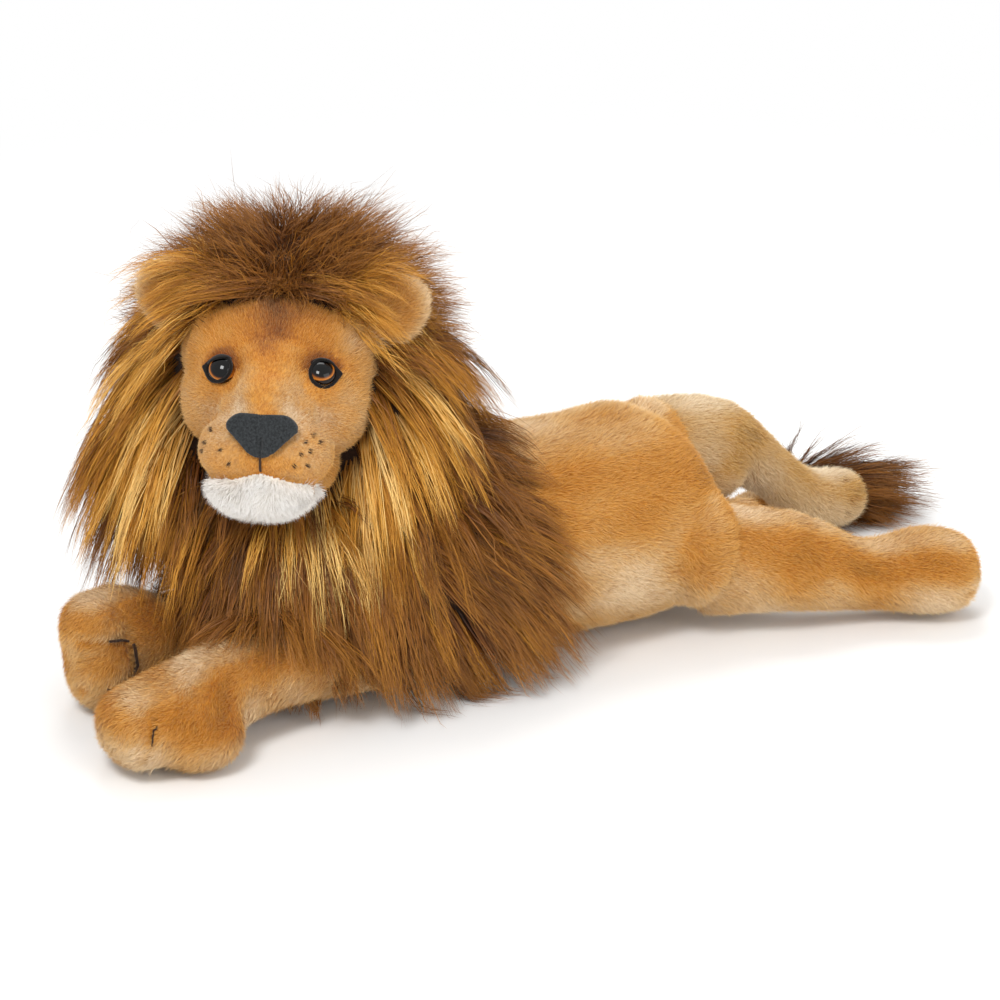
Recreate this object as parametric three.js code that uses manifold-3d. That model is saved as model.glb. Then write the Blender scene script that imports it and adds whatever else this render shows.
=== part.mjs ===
// A plush lion lying on its belly, its head turned toward its left shoulder.
// Millimetres, +Z up. The head is toward -X, the tail toward +X, the lion's left side toward -Y.
// The origin is the middle of the flat of the belly, on the surface that the toy lies on.
// Every sewn part is a cover of pile fabric round its own filling, and swells and tapers along a route.

import * as THREE from 'three';
import { mergeVertices } from 'three/addons/utils/BufferGeometryUtils.js';
import Module from 'manifold-3d';

const wasm = await Module();
wasm.setup();

// Fabric and clearances
const pileWall = 4;
const fillingGap = 0.3;
const seamGap = 0.3;
const runningGap = 0.5;
const swingGap = 2;
const drapeGap = 4;
const overrun = 40;

// Torso
const torsoLength = 340;
const torsoWidth = 156;
const torsoHeight = 150;
const chestReachShare = 0.541;

// Neck and the turning of the head
const neckRadius = 44;
const neckTop = 150;
const neckSetback = 34;
const shelfHeight = 118;
const shelfRadius = 106;
const napeHeight = 112;

// Head
const headLength = 138;
const headWidth = 112;
const headHeight = 118;
const headForward = 179;
const headSide = 1;
const headRise = 196;
const headYaw = 61;
const headPitch = 13;
const headRoll = 2;
const skullShare = 0.4;

// Face
const eyeSpacing = 61;
const eyeHeight = 14;
const eyeRadius = 8.5;
const eyeDome = 7.5;
const shankRadius = 2.2;
const shankLength = 15;
const shankGap = 0.3;
const washerRadius = 9;
const washerThickness = 2.4;
const lidWidth = 2.4;
const lidThickness = 2.6;
const lidPoint = 3.5;
const noseWidth = 41;
const noseHeight = 26;
const noseThickness = 11;
const noseDrop = 21;
const chinPile = 2.6;
const mouthDrop = 47;

// Ears
const earReach = 100;
const earHeight = 50;
const earThickness = 15;
const earAngle = 34;
const earForward = 12;

// Mane
const maneRadius = 112;
const maneDepth = 102;
const ruffRadius = 92;
const ruffDepth = 50;
const capeLength = 216;
const capeBack = 32;
const capeWidth = 190;
const capeHem = 5;

// Front legs: reach from the shoulder pivot to the toes, girth at the shoulder
const shoulderForward = 105;
const leftFrontReach = 228;
const leftFrontGirth = 38;
const leftShoulderOut = 44;
const leftFrontSplay = 37;
const rightFrontReach = 217;
const rightFrontGirth = 34;
const rightShoulderOut = 36;
const rightFrontSplay = -18;
const pawSwingOut = 15;
const pawSwingIn = -4;

// Hind legs: reach from the hip pivot to the toes, girth at the hip
const hipBack = 112;
const leftHindReach = 164;
const leftHindGirth = 46;
const leftHipOut = 44;
const leftHindSplay = 36;
const rightHindReach = 178;
const rightHindGirth = 42;
const rightHipOut = 44;
const rightHindSplay = 24;
const hindLift = 30;

// Tail
const tailLength = 90;
const tailSweep = 110;
const tailRootHeight = 76;
const tailRootBack = 146;
const tailRootOut = 2;
const tailRadius = 12;
const tailSwing = 20;
const tuftLength = 98;
const tuftRadius = 29;

// Facets
const torsoSides = 22;
const headSides = 20;
const limbSides = 12;
const tailSides = 10;
const ringsPerStation = 1;
const ballRings = 3;
const roundSides = 26;
const seatSides = 12;
const smallSides = 16;
const sweepStep = 15;

// Sections of the torso, chest to rump: along its length, height of the middle, half width, half height
const torsoShares = [
  [0.024, 0.573, 0.218, 0.213],
  [0.085, 0.547, 0.333, 0.333],
  [0.188, 0.513, 0.423, 0.427],
  [0.321, 0.493, 0.481, 0.487],
  [0.468, 0.490, 0.500, 0.502],
  [0.629, 0.490, 0.500, 0.503],
  [0.776, 0.463, 0.481, 0.477],
  [0.879, 0.440, 0.417, 0.413],
  [0.947, 0.453, 0.295, 0.293],
  [0.982, 0.487, 0.160, 0.165],
];

// Sections of the head, back of the skull to the muzzle: along its length, height, half width, half height
const headShares = [
  [0.020, 0.042, 0.125, 0.120],
  [0.070, 0.042, 0.250, 0.237],
  [0.190, 0.025, 0.420, 0.400],
  [0.370, 0.017, 0.500, 0.490],
  [0.540, -0.017, 0.500, 0.490],
  [0.670, -0.100, 0.452, 0.440],
  [0.770, -0.215, 0.390, 0.360],
  [0.870, -0.285, 0.345, 0.310],
  [0.950, -0.315, 0.270, 0.243],
  [0.985, -0.315, 0.143, 0.127],
];

// Sections of a leg, pivot to toes: along its reach, along its splay, and in girths the clearance
// over the surface, the half width and the half height
const leftFrontShares = [
  [0.000, 0.00, 0.05, 1.00, 1.00],
  [0.240, 0.16, 0.14, 0.84, 0.84],
  [0.480, 0.49, 0.34, 0.80, 0.79],
  [0.640, 0.70, 0.30, 0.78, 0.76],
  [0.800, 0.88, -0.01, 0.95, 0.80],
  [0.925, 0.97, -0.01, 0.84, 0.69],
  [0.980, 1.00, 0.18, 0.48, 0.42],
];
const rightFrontShares = [
  [0.000, 0.00, 0.18, 1.00, 1.00],
  [0.250, 0.10, 0.12, 0.88, 0.88],
  [0.500, 0.40, 0.02, 0.80, 0.86],
  [0.700, 0.75, -0.01, 0.78, 1.00],
  [0.850, 0.93, -0.01, 0.86, 1.20],
  [0.945, 1.00, 0.10, 0.72, 1.00],
  [0.985, 1.00, 0.50, 0.38, 0.54],
];
const leftHindShares = [
  [0.000, 0.00, 0.03, 1.00, 1.00],
  [0.220, 0.35, 0.08, 0.80, 0.78],
  [0.420, 0.60, 0.20, 0.63, 0.60],
  [0.580, 0.75, 0.16, 0.60, 0.56],
  [0.750, 0.88, -0.01, 0.72, 0.65],
  [0.890, 0.96, -0.01, 0.68, 0.62],
  [0.965, 1.00, 0.16, 0.40, 0.36],
];
const rightHindShares = [
  [0.000, 0.00, 1.05, 1.00, 1.00],
  [0.240, 0.40, 1.17, 0.83, 0.83],
  [0.460, 0.60, 0.95, 0.67, 0.67],
  [0.640, 0.75, 0.51, 0.61, 0.61],
  [0.810, 0.90, -0.01, 0.64, 0.67],
  [0.915, 1.00, -0.01, 0.57, 0.58],
  [0.970, 1.00, 0.20, 0.32, 0.32],
];

// The tail's route, root to tuft: along its length, along its sideways sweep, height in root heights,
// radius in tail radii; then the tuft's: along, sideways, height and radius, all in the tuft's own sizes
const tailShares = [
  [0.00, 0.00, 1.000, 1.00],
  [0.17, 0.03, 0.770, 1.00],
  [0.29, 0.14, 0.400, 1.00],
  [0.38, 0.40, 0.175, 1.00],
  [0.48, 0.72, 0.163, 1.00],
  [0.67, 0.94, 0.165, 1.00],
  [1.00, 1.00, 0.192, 1.00],
];
const tailEndShare = 0.25;
const tuftShares = [
  [0.03, 0.00, 0.52, 0.45],
  [0.27, 0.17, 0.84, 0.84],
  [0.57, 0.19, 1.00, 1.00],
  [0.84, 0.03, 0.93, 0.83],
  [0.96, -0.06, 0.80, 0.42],
];
const tuftRootShare = 0.05;
const tuftEndShare = 0.2;

// Sections of the cape of mane on the chest and shoulders, front to back: along its length,
// height, half width and half height in the torso's heights
const capeShares = [
  [0.040, 0.620, 0.22, 0.150],
  [0.150, 0.620, 0.39, 0.240],
  [0.320, 0.620, 0.50, 0.310],
  [0.500, 0.580, 0.53, 0.400],
  [0.660, 0.510, 0.49, 0.550],
  [0.820, 0.493, 0.465, 0.575],
  [0.940, 0.493, 0.455, 0.570],
  [1.000, 0.493, 0.380, 0.470],
];

// Turned outlines round the line of sight, in mane radii and depths, out from the face and back
const crownShares = [
  [-0.12, 0.835],
  [-0.20, 0.920],
  [-0.10, 0.985],
  [0.20, 1.000],
  [0.55, 0.920],
  [0.82, 0.700],
  [0.95, 0.420],
];
const ruffShares = [
  [-0.62, 0.68],
  [-0.75, 0.80],
  [-0.54, 0.95],
  [0.00, 1.00],
  [0.25, 0.80],
];
// The nape of the mane, turned about the axis that the head turns on: radius and height
const napeShares = [
  [0.99, 0.00],
  [0.99, 0.16],
  [0.93, 0.42],
  [0.78, 0.70],
  [0.50, 0.92],
];
const earShares = [
  [0.50, 0.50, 0.80],
  [0.70, 0.50, 1.00],
  [0.86, 0.43, 0.92],
  [0.95, 0.30, 0.60],
];
// Below the sight line the mane widens by this share, and is widest at this share of its radius
const maneFlareShare = 0.45;
const flareFootShare = 0.9;
const openingShare = 1 / 3;
const earWidestShare = 0.7;
const noseShoulderShare = 0.34;
const noseCornerShare = 0.16;
const noseTipShare = 0.24;
const noseBevelShare = 1 / 3;
const chinReachShare = 0.62;

const plush = (colour) => new THREE.MeshStandardMaterial({ color: colour, roughness: 0.95, metalness: 0 });
const materials = {
  tan: plush(0xc9974f),
  fawn: plush(0xb79a66),
  filling: plush(0xf3f1ea),
  brown: plush(0x6b3d17),
  gold: plush(0xb57a2a),
  chin: plush(0xeeebe4),
  nose: plush(0x2c2d30),
  lid: plush(0x17130f),
  eye: new THREE.MeshStandardMaterial({ color: 0x2a1508, roughness: 0.08, metalness: 0 }),
  washer: new THREE.MeshStandardMaterial({ color: 0xe4e2dc, roughness: 0.5, metalness: 0 }),
};

const up = new THREE.Vector3(0, 0, 1);
const torsoFront = -chestReachShare * torsoLength;
const radians = THREE.MathUtils.degToRad;

// A closed solid from a geometry whose shared corners are merged
function solid(geometry) {
  const bare = geometry.clone();
  bare.deleteAttribute('normal');
  bare.deleteAttribute('uv');
  const joined = mergeVertices(bare);
  const mesh = new wasm.Mesh({
    numProp: 3,
    vertProperties: joined.attributes.position.array,
    triVerts: joined.index.array,
  });
  return new wasm.Manifold(mesh);
}

// The named mesh of a solid
function piece(name, body, material) {
  const { vertProperties, triVerts } = body.getMesh();
  const geometry = new THREE.BufferGeometry();
  geometry.setAttribute('position', new THREE.BufferAttribute(vertProperties, 3));
  geometry.setIndex(new THREE.BufferAttribute(triVerts, 1));
  geometry.computeVertexNormals();
  const mesh = new THREE.Mesh(geometry, material);
  mesh.name = name;
  return mesh;
}

function cut(body, ...cutters) {
  return cutters.reduce((rest, cutter) => rest.subtract(cutter), body);
}

// One ring of a swelling: an ellipse across the route
function ringPoints(centre, along, halfWidth, halfHeight, sides) {
  const side = new THREE.Vector3().crossVectors(up, along).normalize();
  const rise = new THREE.Vector3().crossVectors(along, side);
  return Array.from({ length: sides }, (_, index) => {
    const angle = (index / sides) * Math.PI * 2;
    return centre.clone()
      .addScaledVector(side, halfWidth * Math.cos(angle))
      .addScaledVector(rise, halfHeight * Math.sin(angle));
  });
}

// Skin over rings, closed by a point at each end
function skin(rings, startPoint, endPoint) {
  const sides = rings[0].length;
  const points = [startPoint, ...rings.flat(), endPoint];
  const last = points.length - 1;
  const faces = [];
  const corner = (ring, index) => 1 + ring * sides + (index % sides);
  for (let index = 0; index < sides; index += 1) {
    faces.push(0, corner(0, index + 1), corner(0, index));
    for (let ring = 0; ring + 1 < rings.length; ring += 1) {
      faces.push(corner(ring, index), corner(ring, index + 1), corner(ring + 1, index + 1));
      faces.push(corner(ring, index), corner(ring + 1, index + 1), corner(ring + 1, index));
    }
    faces.push(last, corner(rings.length - 1, index), corner(rings.length - 1, index + 1));
  }
  const geometry = new THREE.BufferGeometry().setFromPoints(points);
  geometry.setIndex(faces);
  return geometry;
}

// A stuffed form that swells and tapers along its stations. Grown, it clears the form; shrunk, it fills it.
// A form with a ball starts as half a ball about its first station, so it can turn in its seat.
function swelling(form, grow = 0) {
  const { stations, sides, upright, ball, startReach, endReach } = form;
  const route = new THREE.CatmullRomCurve3(stations.map((station) => station.centre));
  const girths = stations.map(({ halfWidth, halfHeight }) => new THREE.Vector3(halfWidth, halfHeight, 0));
  const girth = new THREE.CatmullRomCurve3(girths);
  const overall = stations.at(-1).centre.clone().sub(stations[0].centre);
  const level = new THREE.Vector3(Math.sign(overall.x), 0, 0);
  const heading = (share) => (upright ? level : route.getTangent(share));
  const rings = [];
  const first = stations[0].centre;
  const ballRadius = stations[0].halfWidth + grow;
  if (ball) {
    for (let ring = 1; ring < ballRings; ring += 1) {
      const angle = (ring / ballRings) * (Math.PI / 2);
      const centre = first.clone().addScaledVector(heading(0), -ballRadius * Math.cos(angle));
      const radius = ballRadius * Math.sin(angle);
      rings.push(ringPoints(centre, heading(0), radius, radius, sides));
    }
  }
  const steps = Math.round((stations.length - 1) * ringsPerStation);
  for (let step = 0; step <= steps; step += 1) {
    const share = step / steps;
    const size = girth.getPoint(share);
    const shift = grow * (ball ? share : 2 * share - 1);
    const centre = route.getPoint(share).addScaledVector(heading(share), shift);
    rings.push(ringPoints(centre, heading(share), size.x + grow, size.y + grow, sides));
  }
  const startDistance = ball ? ballRadius : startReach + grow;
  const startPoint = first.clone().addScaledVector(heading(0), -startDistance);
  const endPoint = stations.at(-1).centre.clone().addScaledVector(heading(1), endReach + grow);
  return skin(rings, startPoint, endPoint);
}

// Cover and filling of a stuffed form, each cut by what sits in it
function cover(form, opening) {
  const shell = solid(swelling(form)).subtract(solid(swelling(form, -pileWall)));
  return opening ? shell.subtract(opening) : shell;
}

function filling(form) {
  return solid(swelling(form, -pileWall - fillingGap));
}

// The matrix that turns about a pivot
function turnAbout(pivot, axis, degrees) {
  const away = new THREE.Matrix4().makeTranslation(pivot.x, pivot.y, pivot.z);
  const turn = new THREE.Matrix4().makeRotationAxis(axis, radians(degrees));
  const back = new THREE.Matrix4().makeTranslation(-pivot.x, -pivot.y, -pivot.z);
  return away.multiply(turn).multiply(back);
}

// All the space that a limb passes through as it turns: its ball stays in place, its length swings
function swept(form, { pivot, axis, from, to }, gap) {
  const slack = Math.cos(Math.PI / seatSides) * Math.cos(Math.PI / seatSides / 2);
  const seatRadius = (form.stations[0].halfWidth + runningGap) / slack;
  const seat = new THREE.SphereGeometry(seatRadius, seatSides, seatSides);
  let space = solid(seat.translate(pivot.x, pivot.y, pivot.z));
  const length = swelling({ ...form, ball: false, startReach: 0 }, gap);
  const steps = Math.ceil((to - from) / sweepStep);
  for (let step = 0; step <= steps; step += 1) {
    const degrees = from + ((to - from) * step) / steps;
    space = space.add(solid(length.clone().applyMatrix4(turnAbout(pivot, axis, degrees))));
  }
  return space;
}

// A turned body about the Z axis through a point, from radius and height pairs
function turned(profile, sides, x = 0, y = 0) {
  const points = profile.map(([radius, height]) => new THREE.Vector2(radius, height));
  return new THREE.LatheGeometry(points, sides).rotateX(Math.PI / 2).translate(x, y, 0);
}

// Forms
const torso = {
  sides: torsoSides,
  upright: true,
  startReach: torsoShares[0][0] * torsoLength,
  endReach: (1 - torsoShares.at(-1)[0]) * torsoLength,
  stations: torsoShares.map(([along, height, width, depth]) => ({
    centre: new THREE.Vector3(torsoFront + along * torsoLength, 0, height * torsoHeight),
    halfWidth: width * torsoWidth,
    halfHeight: depth * torsoHeight,
  })),
};

const head = {
  sides: headSides,
  upright: true,
  startReach: headShares[0][0] * headLength,
  endReach: (1 - headShares.at(-1)[0]) * headLength,
  stations: headShares.map(([along, height, width, depth]) => ({
    centre: new THREE.Vector3((skullShare - along) * headLength, 0, height * headHeight),
    halfWidth: width * headWidth,
    halfHeight: depth * headHeight,
  })),
};

function leg(shares, { start, direction, reach, out, splay, girth }) {
  const side = Math.sign(out);
  return {
    sides: limbSides,
    ball: true,
    endReach: (1 - shares.at(-1)[0]) * reach,
    stations: shares.map(([along, across, clear, width, depth]) => ({
      centre: new THREE.Vector3(
        start + direction * along * reach,
        out + side * across * splay,
        (clear + depth) * girth,
      ),
      halfWidth: width * girth,
      halfHeight: depth * girth,
    })),
  };
}

const legs = {
  front_leg_left: leg(leftFrontShares, {
    start: -shoulderForward, direction: -1, reach: leftFrontReach,
    out: -leftShoulderOut, splay: leftFrontSplay, girth: leftFrontGirth,
  }),
  front_leg_right: leg(rightFrontShares, {
    start: -shoulderForward, direction: -1, reach: rightFrontReach,
    out: rightShoulderOut, splay: rightFrontSplay, girth: rightFrontGirth,
  }),
  hind_leg_left: leg(leftHindShares, {
    start: hipBack, direction: 1, reach: leftHindReach,
    out: -leftHipOut, splay: leftHindSplay, girth: leftHindGirth,
  }),
  hind_leg_right: leg(rightHindShares, {
    start: hipBack, direction: 1, reach: rightHindReach,
    out: rightHipOut, splay: rightHindSplay, girth: rightHindGirth,
  }),
};

const tail = {
  sides: tailSides,
  ball: true,
  endReach: tailEndShare * tailRadius,
  stations: tailShares.map(([along, across, height, radius]) => ({
    centre: new THREE.Vector3(
      tailRootBack + along * tailLength,
      -tailRootOut + across * tailSweep,
      height * tailRootHeight,
    ),
    halfWidth: radius * tailRadius,
    halfHeight: radius * tailRadius,
  })),
};

const tailEnd = tail.stations.at(-1).centre;
const tuft = {
  sides: limbSides,
  startReach: tuftRootShare * tuftRadius,
  endReach: tuftEndShare * tuftRadius,
  stations: tuftShares.map(([along, across, height, radius]) => ({
    centre: new THREE.Vector3(
      tailEnd.x + along * tuftLength,
      tailEnd.y + across * tuftLength,
      height * tuftRadius,
    ),
    halfWidth: radius * tuftRadius,
    halfHeight: radius * tuftRadius,
  })),
};

const capeFront = -capeBack - capeLength;
const cape = {
  sides: torsoSides,
  upright: true,
  startReach: capeShares[0][0] * capeLength,
  endReach: pileWall,
  stations: capeShares.map(([along, height, width, depth]) => ({
    centre: new THREE.Vector3(capeFront + along * capeLength, 0, height * torsoHeight),
    halfWidth: width * capeWidth,
    halfHeight: depth * torsoHeight,
  })),
};

// Joints: where each body turns, about which axis and how far
const pivotOf = (form) => form.stations[0].centre;
const joints = {
  front_leg_left: { pivot: pivotOf(legs.front_leg_left), axis: up, from: pawSwingIn, to: pawSwingOut },
  front_leg_right: {
    pivot: pivotOf(legs.front_leg_right), axis: up.clone().negate(), from: pawSwingIn, to: pawSwingOut,
  },
  hind_leg_left: {
    pivot: pivotOf(legs.hind_leg_left), axis: new THREE.Vector3(0, -1, 0), from: 0, to: hindLift,
  },
  hind_leg_right: {
    pivot: pivotOf(legs.hind_leg_right), axis: new THREE.Vector3(0, -1, 0), from: 0, to: hindLift,
  },
  tail: { pivot: pivotOf(tail), axis: up, from: 0, to: tailSwing },
};

// The neck is turned about the head's axis, so the head can turn on it
const neckX = torsoFront + neckSetback;
function neck(grow = 0) {
  const radius = neckRadius + grow;
  const arc = Array.from({ length: 2 * ballRings }, (_, index) => {
    const angle = (index / (2 * ballRings)) * (Math.PI / 2);
    return [radius * Math.cos(angle), neckTop + radius * Math.sin(angle)];
  });
  const floor = torsoHeight / 2;
  return turned([[0, floor], [radius, floor], ...arc, [0, neckTop + radius]], roundSides, neckX);
}

// The round space over the shoulders that the head and its mane turn in
function shelfSpace(grow = 0) {
  const radius = shelfRadius + grow;
  const bottom = shelfHeight - grow;
  const top = headRise + maneRadius + overrun;
  return solid(turned([[0, bottom], [radius, bottom], [radius, top], [0, top]], roundSides, neckX));
}

function block(xFrom, xTo, width, zFrom, zTo) {
  const box = new THREE.BoxGeometry(xTo - xFrom, width, zTo - zFrom);
  return solid(box.translate((xFrom + xTo) / 2, 0, (zFrom + zTo) / 2));
}

const wide = torsoLength * 2;
const underFloor = block(-wide, wide, wide, -torsoHeight, 0);
const underHem = block(-wide, wide, wide, -torsoHeight, capeHem);
const aboveChest = block(-wide, neckX, wide, shelfHeight, shelfHeight + wide);

// Torso, its filling, and the cape of mane round the chest and shoulders
const limbForms = { ...legs, tail };
const limbSpaces = Object.entries(limbForms).map(([name, form]) => (
  swept(form, joints[name], swingGap)
));
const drapedSpaces = ['front_leg_left', 'front_leg_right'].map((name) => (
  swept(legs[name], joints[name], drapeGap)
));
const neckSolid = solid(neck());

const torsoOuter = solid(swelling(torso)).subtract(shelfSpace()).add(neckSolid);
const torsoInner = solid(swelling(torso, -pileWall)).subtract(shelfSpace(pileWall))
  .add(solid(neck(-pileWall)));
const coreInset = pileWall + fillingGap;
const torsoCore = solid(swelling(torso, -coreInset)).subtract(shelfSpace(coreInset))
  .add(solid(neck(-coreInset)));
const torsoCover = cut(torsoOuter, torsoInner, ...limbSpaces, underFloor);
const torsoFilling = cut(torsoCore, ...limbSpaces);

const torsoSkin = solid(swelling(torso, seamGap));
const capeBody = cut(
  solid(swelling(cape)), torsoSkin, solid(neck(seamGap)), shelfSpace(), aboveChest, underHem, ...drapedSpaces,
);

// Head group: its own frame looks along -X
const headGroup = new THREE.Group();
headGroup.position.set(-headForward, -headSide, headRise);
headGroup.rotation.set(radians(headRoll), radians(headPitch), radians(headYaw), 'ZYX');
headGroup.updateMatrixWorld(true);
const intoHead = headGroup.matrixWorld.clone().invert();
const inHead = (geometry) => solid(geometry.clone().applyMatrix4(intoHead));

const neckInHead = inHead(neck(runningGap));
const belowShelf = inHead(
  new THREE.BoxGeometry(wide, wide, wide).translate(0, 0, shelfHeight + runningGap - wide / 2),
);
const outsideShelf = inHead(
  turned([
    [shelfRadius - runningGap, 0],
    [wide, 0],
    [wide, wide],
    [shelfRadius - runningGap, wide],
    [shelfRadius - runningGap, 0],
  ], roundSides, neckX),
).intersect(inHead(new THREE.BoxGeometry(wide, wide, wide).translate(neckX + wide / 2, 0, 0)));

// How far forward the face is at a place on it, found on the head's own sections
function faceDepth(side, rise) {
  const route = new THREE.CatmullRomCurve3(head.stations.map((station) => station.centre));
  const sizes = head.stations.map(({ halfWidth, halfHeight }) => new THREE.Vector3(halfWidth, halfHeight, 0));
  const girth = new THREE.CatmullRomCurve3(sizes);
  let near = 1;
  let far = 1 / 2;
  while (near - far > 1 / headLength / headLength) {
    const middle = (near + far) / 2;
    const centre = route.getPoint(middle);
    const size = girth.getPoint(middle);
    const inside = Math.hypot((side - centre.y) / size.x, (rise - centre.z) / size.y) < 1;
    if (inside) {
      far = middle;
    } else {
      near = middle;
    }
  }
  return -route.getPoint(far).x;
}

// The frame of a trim on the face: its place and the direction that it faces
function faceFrame(side, rise, spread) {
  const at = new THREE.Vector3(-faceDepth(side, rise), side, rise);
  const acrossSlope = (faceDepth(side + spread, rise) - faceDepth(side - spread, rise)) / (2 * spread);
  const upSlope = (faceDepth(side, rise + spread) - faceDepth(side, rise - spread)) / (2 * spread);
  const outward = new THREE.Vector3(-1, -acrossSlope, -upSlope).normalize();
  const group = new THREE.Group();
  const across = new THREE.Vector3().crossVectors(up, outward).normalize();
  const rising = new THREE.Vector3().crossVectors(outward, across);
  group.matrix.makeBasis(across, rising, outward).setPosition(at);
  group.matrix.decompose(group.position, group.quaternion, group.scale);
  return group;
}

// A safety eye: a dome on a ribless shank, turned about its own axis
function eyeGeometry() {
  const arcSteps = 4;
  const arc = Array.from({ length: arcSteps }, (_, index) => {
    const angle = (index / arcSteps) * (Math.PI / 2);
    return [eyeRadius * Math.cos(angle), seamGap + eyeDome * Math.sin(angle)];
  });
  return turned([
    [0, -shankLength],
    [shankRadius, -shankLength],
    [shankRadius, seamGap],
    ...arc,
    [0, seamGap + eyeDome],
  ], smallSides);
}

function washerGeometry() {
  const bore = shankRadius + shankGap;
  const top = -pileWall - fillingGap;
  return turned([
    [bore, top - washerThickness],
    [washerRadius, top - washerThickness],
    [washerRadius, top],
    [bore, top],
    [bore, top - washerThickness],
  ], smallSides);
}

// The dark rim sewn round the eye, drawn out to a point at the outer corner
function lidGeometry(side) {
  const inner = eyeRadius + seamGap;
  const outer = inner + lidWidth;
  const point = outer + lidPoint;
  const half = Math.acos(outer / point);
  const outline = new THREE.Shape();
  outline.moveTo(point, 0);
  outline.lineTo(outer * Math.cos(half), outer * Math.sin(half));
  outline.absarc(0, 0, outer, half, Math.PI * 2 - half, false);
  outline.closePath();
  const rim = Array.from({ length: smallSides }, (_, index) => {
    const angle = -(index / smallSides) * Math.PI * 2;
    return new THREE.Vector2(inner * Math.cos(angle), inner * Math.sin(angle));
  });
  outline.holes.push(new THREE.Path(rim));
  const geometry = new THREE.ExtrudeGeometry(outline, {
    depth: lidThickness, bevelEnabled: false, curveSegments: smallSides / 2,
  });
  return geometry.translate(0, 0, seamGap).rotateZ(side > 0 ? Math.PI : 0);
}

function drum(radius, from, to) {
  return turned([[0, from], [radius, from], [radius, to], [0, to]], smallSides);
}

const eyeFrames = { left: faceFrame(-eyeSpacing / 2, eyeHeight, eyeRadius / 2) };
eyeFrames.right = faceFrame(eyeSpacing / 2, eyeHeight, eyeRadius / 2);
const eyeCuts = Object.values(eyeFrames).flatMap((frame) => {
  const seatRadius = eyeRadius + lidWidth + lidPoint + 2 * seamGap;
  const seat = drum(seatRadius, 0, overrun);
  const hole = drum(shankRadius + shankGap, -shankLength - fillingGap, overrun);
  const pocket = drum(
    washerRadius + fillingGap, -pileWall - washerThickness - 2 * fillingGap, -pileWall,
  );
  return [seat, hole, pocket].map((geometry) => solid(geometry.applyMatrix4(frame.matrix)));
});

// Nose: a rounded wedge of foam under felt, hollowed behind to sit on the muzzle
function noseGeometry(grow = 0) {
  const half = noseWidth / 2;
  const top = noseHeight * noseShoulderShare;
  const bottom = top - noseHeight;
  const corner = noseWidth * noseCornerShare;
  const tip = noseWidth * noseTipShare;
  const outline = new THREE.Shape();
  outline.moveTo(-half + corner, top);
  outline.lineTo(half - corner, top);
  outline.quadraticCurveTo(half, top, half, top - corner);
  outline.quadraticCurveTo(half - corner / 2, top - 2 * corner, tip, bottom + corner / 2);
  outline.quadraticCurveTo(0, bottom - corner / 2, -tip, bottom + corner / 2);
  outline.quadraticCurveTo(-half + corner / 2, top - 2 * corner, -half, top - corner);
  outline.quadraticCurveTo(-half, top, -half + corner, top);
  const bevel = noseThickness * noseBevelShare;
  return new THREE.ExtrudeGeometry(outline, {
    depth: noseThickness,
    bevelEnabled: true,
    bevelThickness: bevel,
    bevelSize: bevel / 2 + grow,
    bevelOffset: -bevel / 2,
    bevelSegments: 2,
    curveSegments: 6,
  }).translate(0, 0, -noseThickness - bevel / 2);
}

const noseFrame = faceFrame(0, -noseDrop, noseHeight / 4);
const noseBody = solid(noseGeometry().applyMatrix4(noseFrame.matrix));

// Chin: a panel of white pile below the line of the mouth
const chinBand = solid(swelling(head, chinPile + seamGap)).subtract(solid(swelling(head, seamGap)));
const chinTop = new THREE.BoxGeometry(chinReachShare * headLength, headWidth, headHeight)
  .translate(-headLength * (1 - skullShare), 0, -mouthDrop - headHeight / 2);
const chinBody = chinBand.intersect(solid(chinTop));

// Ears: round flaps that stand out of the mane beside the crown
function ear(side) {
  const outward = new THREE.Vector3(0, side * Math.cos(radians(earAngle)), Math.sin(radians(earAngle)));
  return {
    sides: limbSides,
    startReach: earThickness / 2,
    endReach: (1 - earShares.at(-1)[0]) * earReach,
    stations: earShares.map(([along, thickness, height]) => ({
      centre: outward.clone().multiplyScalar(along * earReach)
        .add(new THREE.Vector3(-earForward * (along / earWidestShare), 0, 0)),
      halfWidth: thickness * earThickness,
      halfHeight: (height * earHeight) / 2,
    })),
  };
}

// Mane on the head: the golden ruff round the face and the brown crown behind it,
// both turned about the line of sight
function aboutSight(profile) {
  const points = profile.map(([back, radius]) => new THREE.Vector2(radius, back));
  return new THREE.LatheGeometry(points, roundSides).rotateZ(-Math.PI / 2);
}

function ruffProfile(grow) {
  const outline = ruffShares.map(([back, radius]) => (
    [back * ruffDepth, radius * ruffRadius + grow]
  ));
  const front = outline[0][0] - grow;
  const behind = outline.at(-1)[0] + grow;
  return [[front, 0], [front, outline[0][1]], ...outline.slice(1), [behind, outline.at(-1)[1]], [behind, 0]];
}

// Widens the mane toward the shoulders, where its pile hangs
function flared(geometry) {
  const places = geometry.getAttribute('position');
  for (let index = 0; index < places.count; index += 1) {
    const low = THREE.MathUtils.smoothstep(-places.getZ(index), 0, flareFootShare * maneRadius);
    places.setY(index, places.getY(index) * (1 + maneFlareShare * low));
  }
  return geometry;
}

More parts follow.
